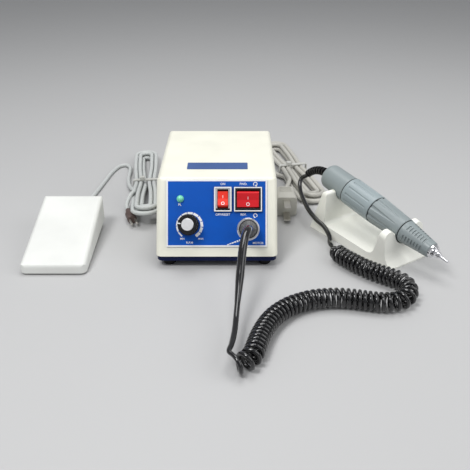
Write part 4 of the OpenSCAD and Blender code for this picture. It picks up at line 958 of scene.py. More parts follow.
@dataclass
class ControlBox(SubAssembly):
    """The box with its sloping printed panel."""

    middle: Spot = (-12.5, 10.5)
    depth: float = 155.0
    base_top: float = 11.0
    tilt: float = 28.0
    panel_up: float = 36.7066
    panel: Spot = (85.0, 56.6)
    panel_t: float = 1.0
    panel_line: float = 1.2
    ink: float = 0.12
    bold: float = 0.04
    # Switches, with their rims and the painted shade strips at the power rocker
    power: Switch = Switch("power", Body.POWER, (5.2, 11.8), 15.0, -9.0, 4.2)
    direction: Switch = Switch("direction", Body.DIRECTION, (26.4, 11.8), 24.0, 9.0, 3.6)
    frame_t: float = 2.0
    frame_h: float = 21.0
    rim_w: float = 0.9
    rim_t: float = 0.25
    rim_in: float = 0.25
    bevel_share: float = 0.4
    shade_strips: Sequence[Place] = ((8.1, 9.2, 0.8), (-8.55, 11.8, 1.7))
    shade_strip_t: float = 0.05
    # Rockers, with the stroke and the ring on each
    rocker_slope: float = 9.0
    rocker_reach: float = 7.4
    rocker_end: float = 4.4
    pivot_in: float = 2.0
    mark_t: float = 0.08
    mark_line: Spot = (0.42, 2.4)
    mark_up: float = 1.6
    mark_ring: Spot = (1.5, 1.0)
    ring_corners: int = 32
    # Knob, with its pointer and the scale round it
    knob: Spot = (-23.9, -9.7)
    knob_h: float = 12.5
    pointer_turn: float = 172.0
    pointer_r: float = 7.1
    pointer_size: Place = (2.8, 0.9, 0.1)
    scale_middle: Spot = (-22.9, -10.4)
    scale_r: float = 11.4
    scale_sweep: Spot = (236.0, -61.0)
    scale_parts: int = 11
    scale_gap: float = 0.5
    scale_width: Spot = (1.2, 2.5)
    # Curved arrows at the direction switch, and whether each turns clockwise
    arrows: Sequence[Tuple[float, float, bool]] = ((32.6, 24.7, True), (32.6, -1.9, False))
    arrow_r: float = 1.5
    arrow_strokes: int = 7
    arrow_step: float = 40.0
    arrow_start: float = 120.0
    arrow_line: Spot = (1.15, 0.6)
    arrow_head: float = 1.1
    # Strokes that lead to the motor socket
    cable_strokes: int = 6
    cable_at: Spot = (9.6, -26.4)
    cable_step: Spot = (2.0, 0.72)
    cable_line: Spot = (1.9, 0.7)
    cable_change: Spot = (-0.1, 0.17)
    cable_turn: float = 20.0
    # Words, each with its place on the panel and the height of a capital
    lettering: Sequence[Tuple[str, float, float, float]] = (
        ("ON", 5.2, 24.7, 1.9),
        ("OFF/RESET", 5.2, -1.1, 1.9),
        ("FWD.", 22.6, 24.7, 1.9),
        ("REV.", 22.6, -1.1, 1.9),
        ("PL", -31.2, 7.2, 1.9),
        ("MIN", -29.0, -21.6, 1.5),
        ("MAX", -13.4, -21.6, 1.5),
        ("R.P.M", -22.9, -24.9, 1.8),
        ("MOTOR", 35.0, -25.2, 1.8),
    )
    coats: ClassVar[Dict[Coat, Sequence[str]]] = {
        Coat.CREAM: ("housing",),
        Coat.NAVY: ("base_plate",),
        Coat.PANEL: ("front_panel",),
        Coat.LABEL: ("top_label",),
        Coat.FRAME: ("power_switch_frame",),
        Coat.BLACK: (
            "direction_switch_frame", "speed_knob", "fuse_holder", "pedal_socket", "mains_gland"),
        Coat.ORANGE: ("power_rocker",),
        Coat.RED: ("direction_rocker",),
        Coat.LENS: ("pilot_lamp",),
        Coat.CAP: ("knob_cap",),
        Coat.RING: ("motor_socket",),
        Coat.STEEL: ("case_screws", "speed_potentiometer", "knob_shaft", "transformer_core"),
        Coat.COPPER: ("transformer_coil",),
        Coat.BOARD: ("circuit_board",),
        Coat.RUBBER: ("rubber_feet",),
    }

    def on_panel(self, right: float, up: float, out: float, turn: float = 0.0) -> Matrix:
        """Place on the panel, with X to the right, Y up the slope and Z outwards.

        Args:
            right: millimetres to the right of the panel's middle.
            up: millimetres up the slope.
            out: millimetres out of the housing's face.
            turn: degrees about the outward direction.

        Returns:
            The matrix from that place's own frame, in metres.
        """
        lean = math.radians(self.tilt)
        rise = self.panel_up + up
        at = Vector((
            self.middle[0] + right,
            self.middle[1] - self.depth / 2 + rise * math.sin(lean) - out * math.cos(lean),
            self.base_top + rise * math.cos(lean) + out * math.sin(lean),
        ))
        stand = Matrix.Rotation(math.pi / 2 - lean, 4, "X")
        return Matrix.Translation(at * MM) @ stand @ Matrix.Rotation(math.radians(turn), 4, "Z")

    def inked(self, part: Piece, at: Spot, turn: float = 0.0) -> Piece:
        """Set a printed mark on the panel's face."""
        return Bench.settle(part, self.on_panel(*at, self.panel_t, turn))

    def stroke(self, width: float, height: float) -> Piece:
        """A printed stroke at the origin."""
        return Bench.raised(Bench.sheet(width, height), self.ink)

    def panel_edge(self) -> Piece:
        """The white line round the panel."""
        return self.inked(Bench.raised(Bench.sheet(*self.panel), self.ink, self.panel_line), (0.0, 0.0))

    def switch_rims(self) -> Piece:
        """The bright bevelled rims on both switch frames.

        Returns:
            The piece.
        """
        rims = []
        for switch in (self.power, self.direction):
            wide, tall = (size - 2 * self.rim_in for size in (switch.width, self.frame_h))
            part = Bench.raised(Bench.sheet(wide, tall), self.rim_t, self.rim_w)
            Bench.bevelled(part, self.bevel_share * self.rim_t)
            rims.append(Bench.settle(part, self.on_panel(*switch.at, self.panel_t + self.frame_t)))
        return Bench.joined(rims, "switch_rims")

    def power_painted_shade(self) -> Piece:
        """Painted shade: dark strips above and below the power rocker, where the gaps at the rocker lie
        in shade.

        Returns:
            The piece.
        """
        strips = []
        right, middle = self.power.at
        for up, wide, tall in self.shade_strips:
            part = Bench.raised(Bench.sheet(wide, tall), self.shade_strip_t)
            place = self.on_panel(right, middle + up, self.panel_t + self.frame_t)
            strips.append(Bench.settle(part, place))
        return Bench.joined(strips, "power_painted_shade")

    def speed_scale(self) -> List[Piece]:
        """A band round the knob, in divisions that widen from the slow to the fast end.

        Returns:
            The divisions.
        """
        start, end = self.scale_sweep
        slow, fast = self.scale_width
        parts = []
        for i in range(self.scale_parts):
            turn = start + (end - start) * (i + 0.5) / self.scale_parts
            width = slow + (fast - slow) * i / (self.scale_parts - 1)
            radius = self.scale_r - width / 2
            length = math.radians((start - end) / self.scale_parts) * radius - self.scale_gap
            at = polar(self.scale_middle, radius, turn)
            parts.append(self.inked(self.stroke(length, width), at, turn - QUARTER_TURN))
        return parts

    def turn_arrow(self, right: float, up: float, clockwise: bool) -> List[Piece]:
        """A curved arrow made of short strokes and a head.

        Args:
            right: millimetres to the right of the panel's middle.
            up: millimetres up the slope.
            clockwise: which way it points.

        Returns:
            Its strokes and its head.
        """
        sense = -1.0 if clockwise else 1.0
        stroke = self.stroke(*self.arrow_line)
        strokes = [stroke] + [Bench.copied(stroke) for _ in range(self.arrow_strokes - 1)]
        head = Bench.raised(Bench.disc(self.arrow_head, 3), self.ink)
        for i, part in enumerate([*strokes, head]):
            turn = QUARTER_TURN + sense * (self.arrow_step * i - self.arrow_start)
            along = QUARTER_TURN * (1 - sense) if part is head else QUARTER_TURN
            self.inked(part, polar((right, up), self.arrow_r, turn), turn + along)
        return [*strokes, head]

    def cable_mark(self) -> List[Piece]:
        """A row of short slanted strokes that leads to the motor socket.

        Returns:
            The strokes.
        """
        parts = []
        for i in range(self.cable_strokes):
            size = (start + change * i for start, change in zip(self.cable_line, self.cable_change))
            at = tuple(start + step * i for start, step in zip(self.cable_at, self.cable_step))
            parts.append(self.inked(self.stroke(*size), at, self.cable_turn))
        return parts

    def letters(self) -> List[Piece]:
        """Words at the controls.

        Returns:
            One piece for each word.
        """
        parts = []
        for text, right, up, height in self.lettering:
            word = Bench.words(text, height, self.ink, self.bold)
            parts.append(self.inked(word, (right, up)))
        return parts

    def rocker_face(self, switch: Switch, along: float) -> Matrix:
        """Place on a rocker's upper or lower face.

        Args:
            switch: the rocker's switch.
            along: millimetres from the rocker's middle, up where positive.

        Returns:
            The matrix from that place's own frame.
        """
        reach = math.sqrt(self.rocker_reach**2 - self.rocker_end**2)
        slope = self.rocker_slope if along > 0 else -self.rocker_slope
        dip = self.rocker_end - (reach - abs(along)) * math.tan(math.radians(self.rocker_slope))
        pivot = self.on_panel(*switch.at, self.panel_t - self.pivot_in)
        lean = Matrix.Rotation(math.radians(switch.tip), 4, "X")
        face = Matrix.Rotation(math.radians(slope), 4, "X")
        return pivot @ lean @ Matrix.Translation((0.0, along * MM, dip * MM)) @ face

    def rocker_marks(self, switch: Switch) -> None:
        """Make the stroke and the ring on a rocker.

        Args:
            switch: the rocker's switch.
        """
        stroke = Bench.raised(Bench.sheet(*self.mark_line), self.mark_t)
        Bench.settle(stroke, self.rocker_face(switch, self.mark_up))
        outer, inner = self.mark_ring
        ring = Bench.raised(Bench.disc(outer, self.ring_corners), self.mark_t, outer - inner)
        Bench.settle(ring, self.rocker_face(switch, -switch.ring_low))
        marks = Bench.joined([stroke, ring], f"{switch.name}_marks")
        finished(marks, switch.body, Coat.INK)

    def pointer(self) -> Piece:
        """The white mark on the knob's rim.

        Returns:
            The piece.
        """
        width, height, rise = self.pointer_size
        part = Bench.raised(Bench.sheet(width, height), rise)
        at = polar(self.knob, self.pointer_r, self.pointer_turn)
        Bench.settle(part, self.on_panel(*at, self.panel_t + self.knob_h, self.pointer_turn))
        return Bench.joined([part], "knob_pointer")

    def build(self) -> None:
        """Make the printed marks and the switches' rims."""
        marks = [self.panel_edge()] + self.speed_scale() + self.cable_mark()
        for arrow in self.arrows:
            marks += self.turn_arrow(*arrow)
        finished(Bench.joined(marks, "panel_marks"), Body.SET, Coat.INK)
        finished(Bench.joined(self.letters(), "panel_letters"), Body.SET, Coat.INK)
        finished(self.switch_rims(), Body.SET, Coat.INK)
        # The dark strips on the power frame are painted shade of the gaps at its rocker.
        finished(self.power_painted_shade(), Body.SET, Coat.BLACK)
        self.rocker_marks(self.power)
        self.rocker_marks(self.direction)
        finished(self.pointer(), Body.SPEED, Coat.INK)


@dataclass
class FootPedal(SubAssembly):
    """The pedal with its treadle and its return spring."""

    spring_at: Place = (-149.4, -13.0, 4.3)
    spring_top: float = 16.6
    spring_r: float = 5.0
    spring_wire: float = 1.2
    spring_turns: int = 6
    spring_steps: int = 24
    spring_sides: int = 12
    spring_keep: float = 0.7
    coats: ClassVar[Dict[Coat, Sequence[str]]] = {
        Coat.WHITE: ("pedal_treadle", "pedal_base"),
        Coat.BLACK: ("pedal_switch",),
        Coat.RED: ("switch_plunger",),
        Coat.STEEL: ("pedal_hinge_pin",),
        Coat.GREY: ("pedal_gland",),
        Coat.RUBBER: ("pedal_pads",),
    }

    def build(self) -> None:
        """Make the return spring, as one rigid piece here, though the real one shortens as the treadle
        goes down.
        """
        Bench.disc(self.spring_wire / 2, self.spring_sides, "NOTHING")
        piece = Bench.named("return_spring")
        stand = Matrix.Rotation(math.pi / 2, 4, "X")
        Bench.settle(piece, Matrix.Translation((self.spring_r * MM, 0.0, 0.0)) @ stand)
        pitch = (self.spring_top - self.spring_at[2]) / self.spring_turns * MM
        Bench.applied(
            piece, "SCREW", screw_offset=pitch, iterations=self.spring_turns,
            steps=self.spring_steps, render_steps=self.spring_steps)
        with Bench.editing(piece):
            bpy.ops.mesh.fill_holes(sides=0)
        seat = Vector(self.spring_at) * MM
        Bench.settle(piece, Matrix.Translation(seat))
        finished(piece, Body.SET, Coat.STEEL)
        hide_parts("pedal_spring")
        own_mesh(piece)


@dataclass
class Cradle(SubAssembly):
    """The stand that the handpiece lies in."""

    coats: ClassVar[Dict[Coat, Sequence[str]]] = {Coat.IVORY: ("cradle",)}


@dataclass
class Handpiece(SubAssembly):
    """The motor handpiece, with a dark gasket between each two shells."""

    rear: Place = (91.73, 27.19, 46.8)
    yaw: float = -55.1
    slope: float = 10.4
    gasket_t: float = 0.66
    gasket_bevel: float = 0.1
    gasket_corners: int = 64
    # Each gasket's place along the axis, and its outer and inner radius
    gaskets: Sequence[Place] = ((31.02, 12.7, 10.3), (65.22, 12.3, 8.4), (99.92, 10.3, 8.4))
    coats: ClassVar[Dict[Coat, Sequence[str]]] = {
        Coat.HAND: ("rear_cap", "chuck_ring", "nose_cone"),
        Coat.SLEEVE: ("motor_sleeve",),
        Coat.CHROME: ("nose_ring", "collet"),
        Coat.STEEL: ("motor_can", "ball_bearings", "rotor_shaft", "spindle", "rotor_core", "bur"),
        Coat.COPPER: ("commutator",),
        Coat.MAGNET: ("magnets",),
        Coat.BLACK: ("cord_relief", "carbon_brushes"),
        Coat.GREY: ("motor_end_plates", "drive_coupling"),
    }

    def on_axis(self, along: float) -> Matrix:
        """Place on the axis, with Z towards the bur.

        Args:
            along: millimetres from the rear end.

        Returns:
            The matrix from that place's own frame, in metres.
        """
        turn = Matrix.Rotation(math.radians(self.yaw), 4, "Z")
        turn = turn @ Matrix.Rotation(math.radians(QUARTER_TURN + self.slope), 4, "Y")
        place = Matrix.Translation(Vector(self.rear) * MM) @ turn
        return place @ Matrix.Translation((0.0, 0.0, along * MM))

    def build(self) -> None:
        """Make the gaskets."""
        rings = []
        for along, outer, inner in self.gaskets:
            part = Bench.raised(Bench.disc(outer, self.gasket_corners), self.gasket_t, outer - inner)
            Bench.bevelled(part, self.gasket_bevel)
            rings.append(Bench.settle(part, self.on_axis(along)))
        finished(Bench.joined(rings, "handpiece_gaskets"), Body.HANDPIECE, Coat.RUBBER)


# Cords


def smooth_line(route: Sequence[Vector], steps: int) -> List[Vector]:
    """A smooth curve through every point of a route.

    Args:
        route: the points, in order.
        steps: stretches between two of them.

    Returns:
        The curve's points.
    """
    last = len(route) - 1
    line: List[Vector] = []
    for i in range(last):
        start, end = route[i], route[i + 1]
        before = route[i - 1] if i > 0 else 2 * start - end
        after = route[i + 2] if i + 2 <= last else 2 * end - start
        bend = 2 * before - 5 * start + 4 * end - after
        twist = 3 * start - before - 3 * end + after
        for step in range(steps):
            share = step / steps
            line.append((2 * start + (end - before) * share + bend * share**2 + twist * share**3) / 2)
    line.append(route[last].copy())
    return line


def measured(line: Sequence[Vector]) -> float:
    """Length of a line of points."""
    return sum((b - a).length for a, b in zip(line, line[1:]))


def cord_curve(name: str, line: Sequence[Vector], radii: Sequence[float]) -> Piece:
    """A round cord as a curve of one open spline.

    Args:
        name: the piece's name.
        line: its middle line, in millimetres.
        radii: its radius at each point, in millimetres.

    Returns:
        The curve.
    """
    data = bpy.data.curves.new(name, "CURVE")
    data.dimensions = "3D"
    data.bevel_depth = MM
    data.bevel_resolution = CORD_ROUNDING
    data.use_fill_caps = True
    spline = data.splines.new("POLY")
    spline.points.add(len(line) - 1)
    for point, at, radius in zip(spline.points, line, radii):
        point.co = (*(at * MM), 1.0)
        point.radius = radius
    spline.use_smooth = True
    piece = bpy.data.objects.new(name, data)
    bpy.context.scene.collection.objects.link(piece)
    return piece


@dataclass
class MotorCord(SubAssembly):
    """The black cord from the box to the handpiece, curly in its middle."""

    box: ControlBox
    hand: Handpiece
    socket: Spot = (26.6, -13.4)
    plug_back: float = 21.9
    boot_r: float = 3.4
    lead_r: float = 2.2
    # Spans of the route that the boot, its taper and the narrowing at the curls take
    boot_spans: Tuple[int, int, int] = (6, 2, 3)
    # Curls, how far they open out in a bend, and how they unwind at their end
    curl_wire: float = 3.2
    curl_r: float = 6.3
    curl_pitch: float = 3.95
    curl_points: int = 16
    bend_reach: float = 7.0
    most_open: float = 0.6
    unwind: float = 7.0
    unwind_pitch: float = 2.0
    margin: float = 1.0
    route_steps: int = 10
    way_span: int = 4
    # Routes of the curls' middle line, of the lead to them, and of the lead to the handpiece
    route: Sequence[Spot] = (
        (3, -205), (9.5, -202), (14.5, -195.5), (17.5, -186), (20.3, -175.5), (23.8, -165.5),
        (27.6, -157), (32.4, -149.2), (38.2, -142.2), (45.2, -136), (53, -131.4), (61.4, -127.6),
        (70.4, -125.6), (79.6, -124.8), (88.8, -125.4), (97.8, -127.2), (106.6, -129.4),
        (115.4, -131), (124.4, -130.6), (132.6, -126.8), (138, -119), (139.4, -109.4),
        (136, -100.8), (128.6, -94), (119.2, -87), (109.6, -78.4), (101.4, -69), (94.8, -60.4),
        (90.8, -52.8), (89.4, -47.6),
    )
    drop: Sequence[Place] = (
        (12.8, -87, 46.5), (10.6, -96, 44.5), (9, -105, 40), (7.8, -115, 34), (6.7, -126, 28),
        (5.6, -138, 22.5), (4.6, -150, 18), (3.7, -162, 15), (2.8, -174, 13.6), (1.6, -184, 13.4),
        (0.4, -191.5, 13.8),
    )
    rise: Sequence[Place] = (
        (87.6, -34.4, 7), (88.4, -28.4, 8), (87.6, -21.4, 9.6), (84.6, -12, 11.8), (79, -3, 13.8),
        (73.6, 9.6, 16.4), (70, 25, 19.2), (67.6, 41, 22.4), (67.6, 52.6, 26.6), (70, 56, 31),
    )
    # Points, in metres, between which the lead begins to follow the handpiece
    lift_from: Place = (0.0, 0.0, 0.009)
    lift_to: Place = (0.0, 0.0, 0.034)
    cradle: Spot = (94.3, 23.5)
    hand_back: float = 4.5
    relief_bend: float = 32.0
    relief_turn: float = 56.0
    line: List[Vector] = field(init=False, default_factory=list)
    lengths: List[float] = field(init=False, default_factory=list)
    coats: ClassVar[Dict[Coat, Sequence[str]]] = {Coat.DARK: ("motor_plug",)}

    def __post_init__(self) -> None:
        """Measure the middle line of the curls."""
        self.line = smooth_line([Vector((x, y, 0.0)) for x, y in self.route], self.route_steps)
        total = 0.0
        for i, point in enumerate(self.line):
            total += (point - self.line[i - 1]).length if i else 0.0
            self.lengths.append(total)

    def at(self, along: float) -> Vector:
        """Point of the middle line.

        Args:
            along: length from its start.

        Returns:
            The point.
        """
        along = min(max(along, 0.0), self.lengths[-1])
        i = next(k for k in range(1, len(self.lengths)) if self.lengths[k] >= along)
        share = (along - self.lengths[i - 1]) / (self.lengths[i] - self.lengths[i - 1])
        return self.line[i - 1].lerp(self.line[i], share)

    def bend(self, along: float) -> float:
        """How tightly the middle line bends.

        Args:
            along: length from its start.

        Returns:
            The turn in radians for each millimetre.
        """
        if along < self.margin or along > self.lengths[-1] - self.margin:
            return 0.0
        before, here, after = (self.at(along + step * self.bend_reach) for step in (-1, 0, 1))
        way_in, way_out = (here - before).normalized(), (after - here).normalized()
        return math.acos(min(1.0, way_in.dot(way_out))) / ((after - before).length / 2)

    def stations(self) -> List[float]:
        """Places along the middle line, an even share of a curl apart.

        Returns:
            Their lengths from its start.
        """
        found: List[float] = []
        along, total = 0.0, self.lengths[-1]
        while along < total - self.margin:
            found.append(along)
            tight = self.bend(max(along, self.bend_reach))
            open_out = 1 - min(self.curl_r * tight, self.most_open)
            ending = 1 + self.unwind_pitch * max(0.0, 1 - (total - along) / self.unwind)
            along += self.curl_pitch / open_out * ending / PER_CURL
        return found

    def curls(self) -> List[Vector]:
        """Middle line of the wire through all the curls.

        Returns:
            Its points.
        """
        marks = self.stations()
        total, height = self.lengths[-1], self.curl_r + self.curl_wire / 2
        between = self.curl_points // PER_CURL
        points = []
        for i in range((len(marks) - 1) * between + 1):
            k, part = divmod(i, between)
            along = marks[k] + (marks[k + 1] - marks[k]) * part / between if part else marks[k]
            ahead = (self.at(along + self.margin) - self.at(along - self.margin)).normalized()
            size = self.curl_r * min(1.0, max(0.0, (total - along) / self.unwind))
            turn = math.tau * i / self.curl_points
            side = Vector((ahead.y, -ahead.x, 0.0)) * size * math.sin(turn)
            points.append(self.at(along) + side + Vector((0.0, 0.0, height + size * math.cos(turn))))
        return points

    def ends(self, curls: Sequence[Vector]) -> Tuple[Vector, Vector, Vector, Vector]:
        """Where the straight ends of the curls start and end.

        Args:
            curls: the middle line through the curls.

        Returns:
            The start and the way there, and the end and the way on from it.
        """
        way_in = (curls[1] - curls[0]) * Vector((1.0, 1.0, 0.0))
        way_in.normalize()
        last = self.line[-1] + Vector((0.0, 0.0, self.curl_r + self.curl_wire / 2))
        way_out = (self.line[-1] - self.line[-1 - self.way_span]).normalized()
        return curls[0] - way_in * self.curl_wire, way_in, last, way_out

    def lead_radii(self, count: int) -> List[float]:
        """Radius along the lead, thick in its boot and thin where the curls begin.

        Args:
            count: how many points the lead has.

        Returns:
            The radius at each of them.
        """
        boot, taper, narrowing = (spans * LEAD_STEPS for spans in self.boot_spans)
        thin = self.curl_wire / 2
        radii = []
        for i in range(count):
            share = min(1.0, max(0.0, (i - boot) / taper))
            radii.append(self.boot_r + (self.lead_r - self.boot_r) * share)
        for i in range(1, narrowing + 1):
            radii[-i] = thin + (self.lead_r - thin) * (i - 1) / narrowing
        return radii

    def coiled(self) -> Piece:
        """The cord from its plug through the curls.

        Returns:
            The cord.
        """
        curls = self.curls()
        start, way_in, last, way_out = self.ends(curls)
        lead_d = 2 * self.lead_r
        out = self.box.on_panel(*self.socket, self.plug_back)
        first = out.translation / MM
        way = (out.to_3x3() @ Vector(UP)).normalized()
        route = [first, first + way * lead_d, *map(Vector, self.drop), start - way_in * lead_d, start]
        lead = smooth_line(route, LEAD_STEPS)
        line = lead + curls + [last, last + way_out * self.curl_wire]
        radii = self.lead_radii(len(lead)) + [self.curl_wire / 2] * (len(line) - len(lead))
        piece = cord_curve("motor_cord", line, radii)
        finished(piece, Body.SET, Coat.BLACK_CORD)
        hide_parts("motor_lead", "curly_cord")
        measured(line) * MM
        return piece

    def relief_end(self) -> Tuple[Vector, Vector]:
        """End of the bent sleeve behind the handpiece.

        Returns:
            The end, and the way out of it.
        """
        yaw, slope = math.radians(self.hand.yaw), math.radians(self.hand.slope)
        down = math.radians(self.relief_turn) - slope
        back = self.hand_back + self.relief_bend * (math.sin(slope) + math.sin(down))
        drop = self.relief_bend * (math.cos(slope) - math.cos(down))
        rearward = Vector((-math.cos(yaw), -math.sin(yaw), 0.0))
        end = Vector((*self.cradle, self.hand.rear[2] - drop)) + rearward * back
        return end, rearward * math.cos(down) - Vector((0.0, 0.0, math.sin(down)))

    def to_handpiece(self) -> Piece:
        """The cord from the curls up to the handpiece, in one fixed pose, though the real one follows
        the handpiece when it is lifted.

        Returns:
            The cord.
        """
        _, _, last, way_out = self.ends(self.curls())
        start = last + way_out * self.curl_wire
        end, way = self.relief_end()
        lead_d, thin = 2 * self.lead_r, self.curl_wire / 2
        route = [start, start + way_out * lead_d, *map(Vector, self.rise), end + way * lead_d, end]
        line = smooth_line(route, LEAD_STEPS)
        radii = [thin + (self.lead_r - thin) * min(1.0, i / LEAD_STEPS) for i in range(len(line))]
        Bench.only(cord_curve("handpiece_cord", line, radii))
        bpy.ops.object.convert(target="MESH")
        piece = Bench.named("handpiece_cord")
        coated(piece, Coat.BLACK_CORD)
        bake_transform(piece)
        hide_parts("handpiece_lead")
        tuple(end * MM)
        measured(line) * MM
        [tuple(point * MM) for point in reversed(line)]
        log.info("piece %s between %s and %s", piece.name, Body.SET.value, Body.HANDPIECE.value)
        return piece


@dataclass
class HankCord:
    """A grey cord that runs from a gland into a tied hank and on to a plug, in millimetres."""

    name: str
    diameter: float
    length: float
    width: float
    step: float
    pull: float
    lift: float
    middle: Spot
    yaw: float
    gland: Place
    gland_r: float
    places: Sequence[Place]
    tail: Sequence[Place]
    plug: Place
    plug_yaw: float
    coat: Coat
    gland_taper: float = 0.6
    # How far the tie's pull reaches, as a share of the hank's length
    pull_reach: float = 0.15
    layer_gap: float = 0.6
    climb_turns: float = 0.5
    loops: int = 4
    first: float = 15.0
    tie_t: float = 1.2
    tie_room: float = 0.3
    loop_points: int = 96
    way_span: int = 4

    def loop_point(self, turn: float, reach: float, width: float) -> Spot:
        """Point of a loop with straight runs and round ends.

        Args:
            turn: degrees round the loop.
            reach: half the loop's length.
            width: half its width, which is the radius of its ends.

        Returns:
            The point in the loop's own plane.
        """
        near = 1.0 if turn < HALF_TURN else -1.0
        part, run = turn % HALF_TURN, reach - width
        if part < EIGHTH_TURN:
            return near * run * part / EIGHTH_TURN, -near * width
        if part > HALF_TURN - EIGHTH_TURN:
            return near * run * (HALF_TURN - part) / EIGHTH_TURN, near * width
        bend = math.radians(2 * (part - QUARTER_TURN))
        return near * (run + width * math.cos(bend)), near * width * math.sin(bend)

    def hank_point(self, turns: float) -> Vector:
        """Point of the hank.

        Args:
            turns: a count of turns from its start.

        Returns:
            The point, on the bench.
        """
        half, diameter = self.loops / 2, self.diameter
        inward = self.step * (turns if turns < half else self.loops - turns)
        reach = (self.length - diameter) / 2 - inward
        turn = (self.first + 2 * HALF_TURN * turns) % (2 * HALF_TURN)
        x, y = self.loop_point(turn, reach, self.width - inward)
        climb = max(0.0, min(1.0, (turns - half) / self.climb_turns + 0.5))
        layer = eased(climb) * (diameter + self.layer_gap)
        y -= math.copysign(self.pull * math.exp(-((x / (self.pull_reach * self.length)) ** 2)), y)
        lift = self.lift * max(0.0, x) / (self.length / 2)
        z = diameter / 2 + self.tie_t + self.tie_room + layer + lift
        flat = Matrix.Rotation(math.radians(self.yaw), 2) @ Vector((x, y))
        return Vector((self.middle[0] + flat.x, self.middle[1] + flat.y, z))

    def build(self, on_plug: Sequence[Piece] = ()) -> Piece:
        """Make the whole cord as one curve, from its gland to its plug.

        Args:
            on_plug: new pieces on the plug; not used.

        Returns:
            The cord.
        """
        diameter = self.diameter
        count = self.loops * self.loop_points
        loops = [self.hank_point(i / self.loop_points) for i in range(count + 1)]
        into = (loops[self.way_span] - loops[0]).normalized()
        away = (loops[-1] - loops[-1 - self.way_span]).normalized()
        start, end = loops[0] - into * diameter, loops[-1] + away * diameter
        gland, plug = Vector(self.gland), Vector(self.plug)
        heading = Vector((*polar((0.0, 0.0), 1.0, self.plug_yaw), 0.0))
        leaving = gland + Vector((0.0, diameter, 0.0))
        lead = [gland, leaving, *map(Vector, self.places), start - into * diameter, start]
        tail = [end, end + away * diameter, *map(Vector, self.tail), plug - heading * diameter, plug]
        line = smooth_line(lead, LEAD_STEPS) + loops + smooth_line(tail, LEAD_STEPS)
        taper = self.gland_taper / LEAD_STEPS
        radii = [max(diameter / 2, self.gland_r - taper * i) for i in range(len(line))]
        piece = cord_curve(f"{self.name}_cord", line, radii)
        finished(piece, Body.SET, self.coat)
        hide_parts(f"{self.name}_lead", f"{self.name}_hank")
        measured(line) * MM
        return piece


PEDAL_CORD = HankCord(
    name="pedal", diameter=4.2, length=188.0, width=12.8, step=4.75, pull=2.2, lift=12.0,
    middle=(-92.0, 98.0), yaw=-83.5, gland=(-149.4, 22.5, 8.0), gland_r=2.1,
    places=(
        (-149, 40, 5), (-148, 55, 2.4), (-145.6, 74, 2.2), (-142.4, 96, 2.2), (-139.4, 119.4, 2.2),
        (-136, 142, 2.2), (-131, 157, 2.2), (-124, 161.6, 2.2), (-118.2, 155, 2.2), (-116, 142, 2.2),
        (-115.2, 126, 2.2), (-113, 109, 2.4), (-109.4, 96, 3.2), (-106.2, 88, 4.8),
    ),
    tail=((-102, 56.6, 13), (-104.3, 50.3, 9.8), (-105.4, 45.1, 6.4)),
    plug=(-103.0, 36.0, 4.8), plug_yaw=-70.5, coat=Coat.PEDAL_CORD,
)
MAINS_CORD = HankCord(
    name="mains", diameter=4.8, length=168.0, width=14.4, step=5.4, pull=2.3, lift=0.0,
    middle=(68.0, 138.0), yaw=-77.0, gland=(15.5, 97.0, 30.0), gland_r=3.6,
    places=(
        (15.7, 110, 26.4), (16.8, 119, 17.6), (19, 128, 9.4), (22.6, 136.4, 4.6), (28, 143, 3.2),
        (35, 145.5, 3), (42, 142.5, 3), (48.2, 134.5, 3.2), (53, 127, 3.6),
    ),
    tail=((60.2, 95.2, 8.4), (57.6, 87, 7.4), (55, 79, 8)),
    plug=(53.5, 68.0, 10.0), plug_yaw=-90.0, coat=Coat.MAINS_CORD,
)


@dataclass
class CordEnds(SubAssembly):
    """Plugs and ties of the two grey cords."""

    plug: Place = (53.5, 57.6, 20.0)
    ribs: int = 4
    rib_step: float = 3.0
    rib: Place = (11.0, 1.5, 0.5)
    widen: float = 0.5
    bevel_share: float = 0.4
    coats: ClassVar[Dict[Coat, Sequence[str]]] = {
        Coat.PALE: ("mains_plug",),
        Coat.BROWN: ("pedal_plug",),
        Coat.TIE: ("cord_ties",),
    }

    def grips(self) -> Piece:
        """Finger ribs across the top of the mains plug, which widens towards its face.

        Returns:
            The piece.
        """
        wide, deep, rise = self.rib
        x, y, z = self.plug
        bars = []
        for i in range(self.ribs):
            bar = Bench.raised(Bench.sheet(wide + self.widen * i, deep), rise)
            Bench.bevelled(bar, self.bevel_share * rise)
            place = Matrix.Translation(Vector((x, y - self.rib_step * i, z)) * MM)
            bars.append(Bench.settle(bar, place))
        return finished(Bench.joined(bars, "mains_plug_grips"), Body.SET, Coat.PALE)


# Studio


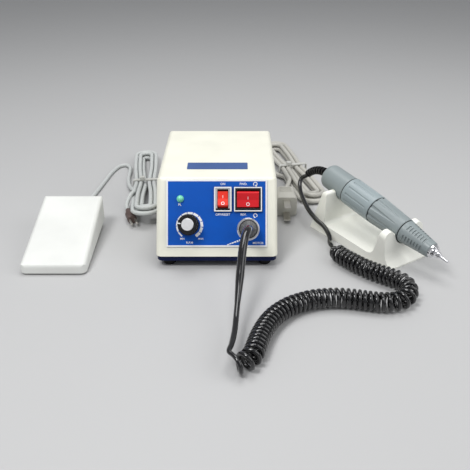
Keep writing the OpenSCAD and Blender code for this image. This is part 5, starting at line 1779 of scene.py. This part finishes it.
@dataclass(frozen=True)
class Lamp:
    """A square soft light, with its side in metres and its power in watts."""

    name: str
    at: Place
    target: Place
    size: float
    power: float

    def build(self) -> None:
        """Hang the light and turn it to its target."""
        data = bpy.data.lights.new(self.name, "AREA")
        data.shape = "SQUARE"
        data.size = self.size
        data.energy = self.power
        light = bpy.data.objects.new(self.name, data)
        light.location = self.at
        way = Vector(self.target) - Vector(self.at)
        light.rotation_euler = way.to_track_quat("-Z", "Y").to_euler()
        bpy.context.scene.collection.objects.link(light)


@dataclass
class Studio:
    """Camera, soft lights and a pale floor, in metres and degrees."""

    eye: Place = (0.00295, -0.5464, 0.2867)
    pitch: float = 28.0
    lens: float = 50.0
    sensor: float = 36.0
    floor: float = 8.0
    sky: float = 0.35
    sky_colour: Colour = (0.95, 0.97, 1.0)
    lamps: Sequence[Lamp] = (
        Lamp("key", (-0.4, -0.5, 0.95), ORIGIN, 0.35, 6.5),
        Lamp("fill", (0.75, -0.25, 0.6), (0.0, 0.0, 0.02), 0.8, 3.5),
        Lamp("top", (0.0, 0.25, 1.1), ORIGIN, 0.6, 5.0),
    )

    def camera(self) -> None:
        """Set the camera at the photograph's angle."""
        data = bpy.data.cameras.new("camera")
        data.lens = self.lens
        data.sensor_width = self.sensor
        camera = bpy.data.objects.new("camera", data)
        camera.location = self.eye
        camera.rotation_euler = (math.radians(QUARTER_TURN - self.pitch), 0.0, 0.0)
        bpy.context.scene.collection.objects.link(camera)
        bpy.context.scene.camera = camera

    def build(self) -> None:
        """Light the scene and lay the floor."""
        for lamp in self.lamps:
            lamp.build()
        world = bpy.data.worlds.new("studio")
        world.use_nodes = True
        sky = world.node_tree.nodes["Background"]
        sky.inputs["Color"].default_value = (*self.sky_colour, 1.0)
        sky.inputs["Strength"].default_value = self.sky
        bpy.context.scene.world = world
        bpy.context.scene.view_settings.view_transform = "Standard"
        Bench.clear()
        bpy.ops.mesh.primitive_plane_add(size=self.floor)
        sweep = Bench.named("floor")
        coated(sweep, Coat.FLOOR)


def main() -> None:
    """Build the set in order."""
    studio = Studio()
    studio.camera()
    box, pedal, hand, ends = ControlBox(), FootPedal(), Handpiece(), CordEnds()
    motor = MotorCord(box, hand)
    motor.coiled()
    motor.to_handpiece()
    PEDAL_CORD.build()
    MAINS_CORD.build([ends.grips()])
    for group in (box, pedal, Cradle(), hand, motor, ends):
        group.dress()
    for group in (box, pedal, hand, studio):
        group.build()


if __name__ == "__main__":
    main()
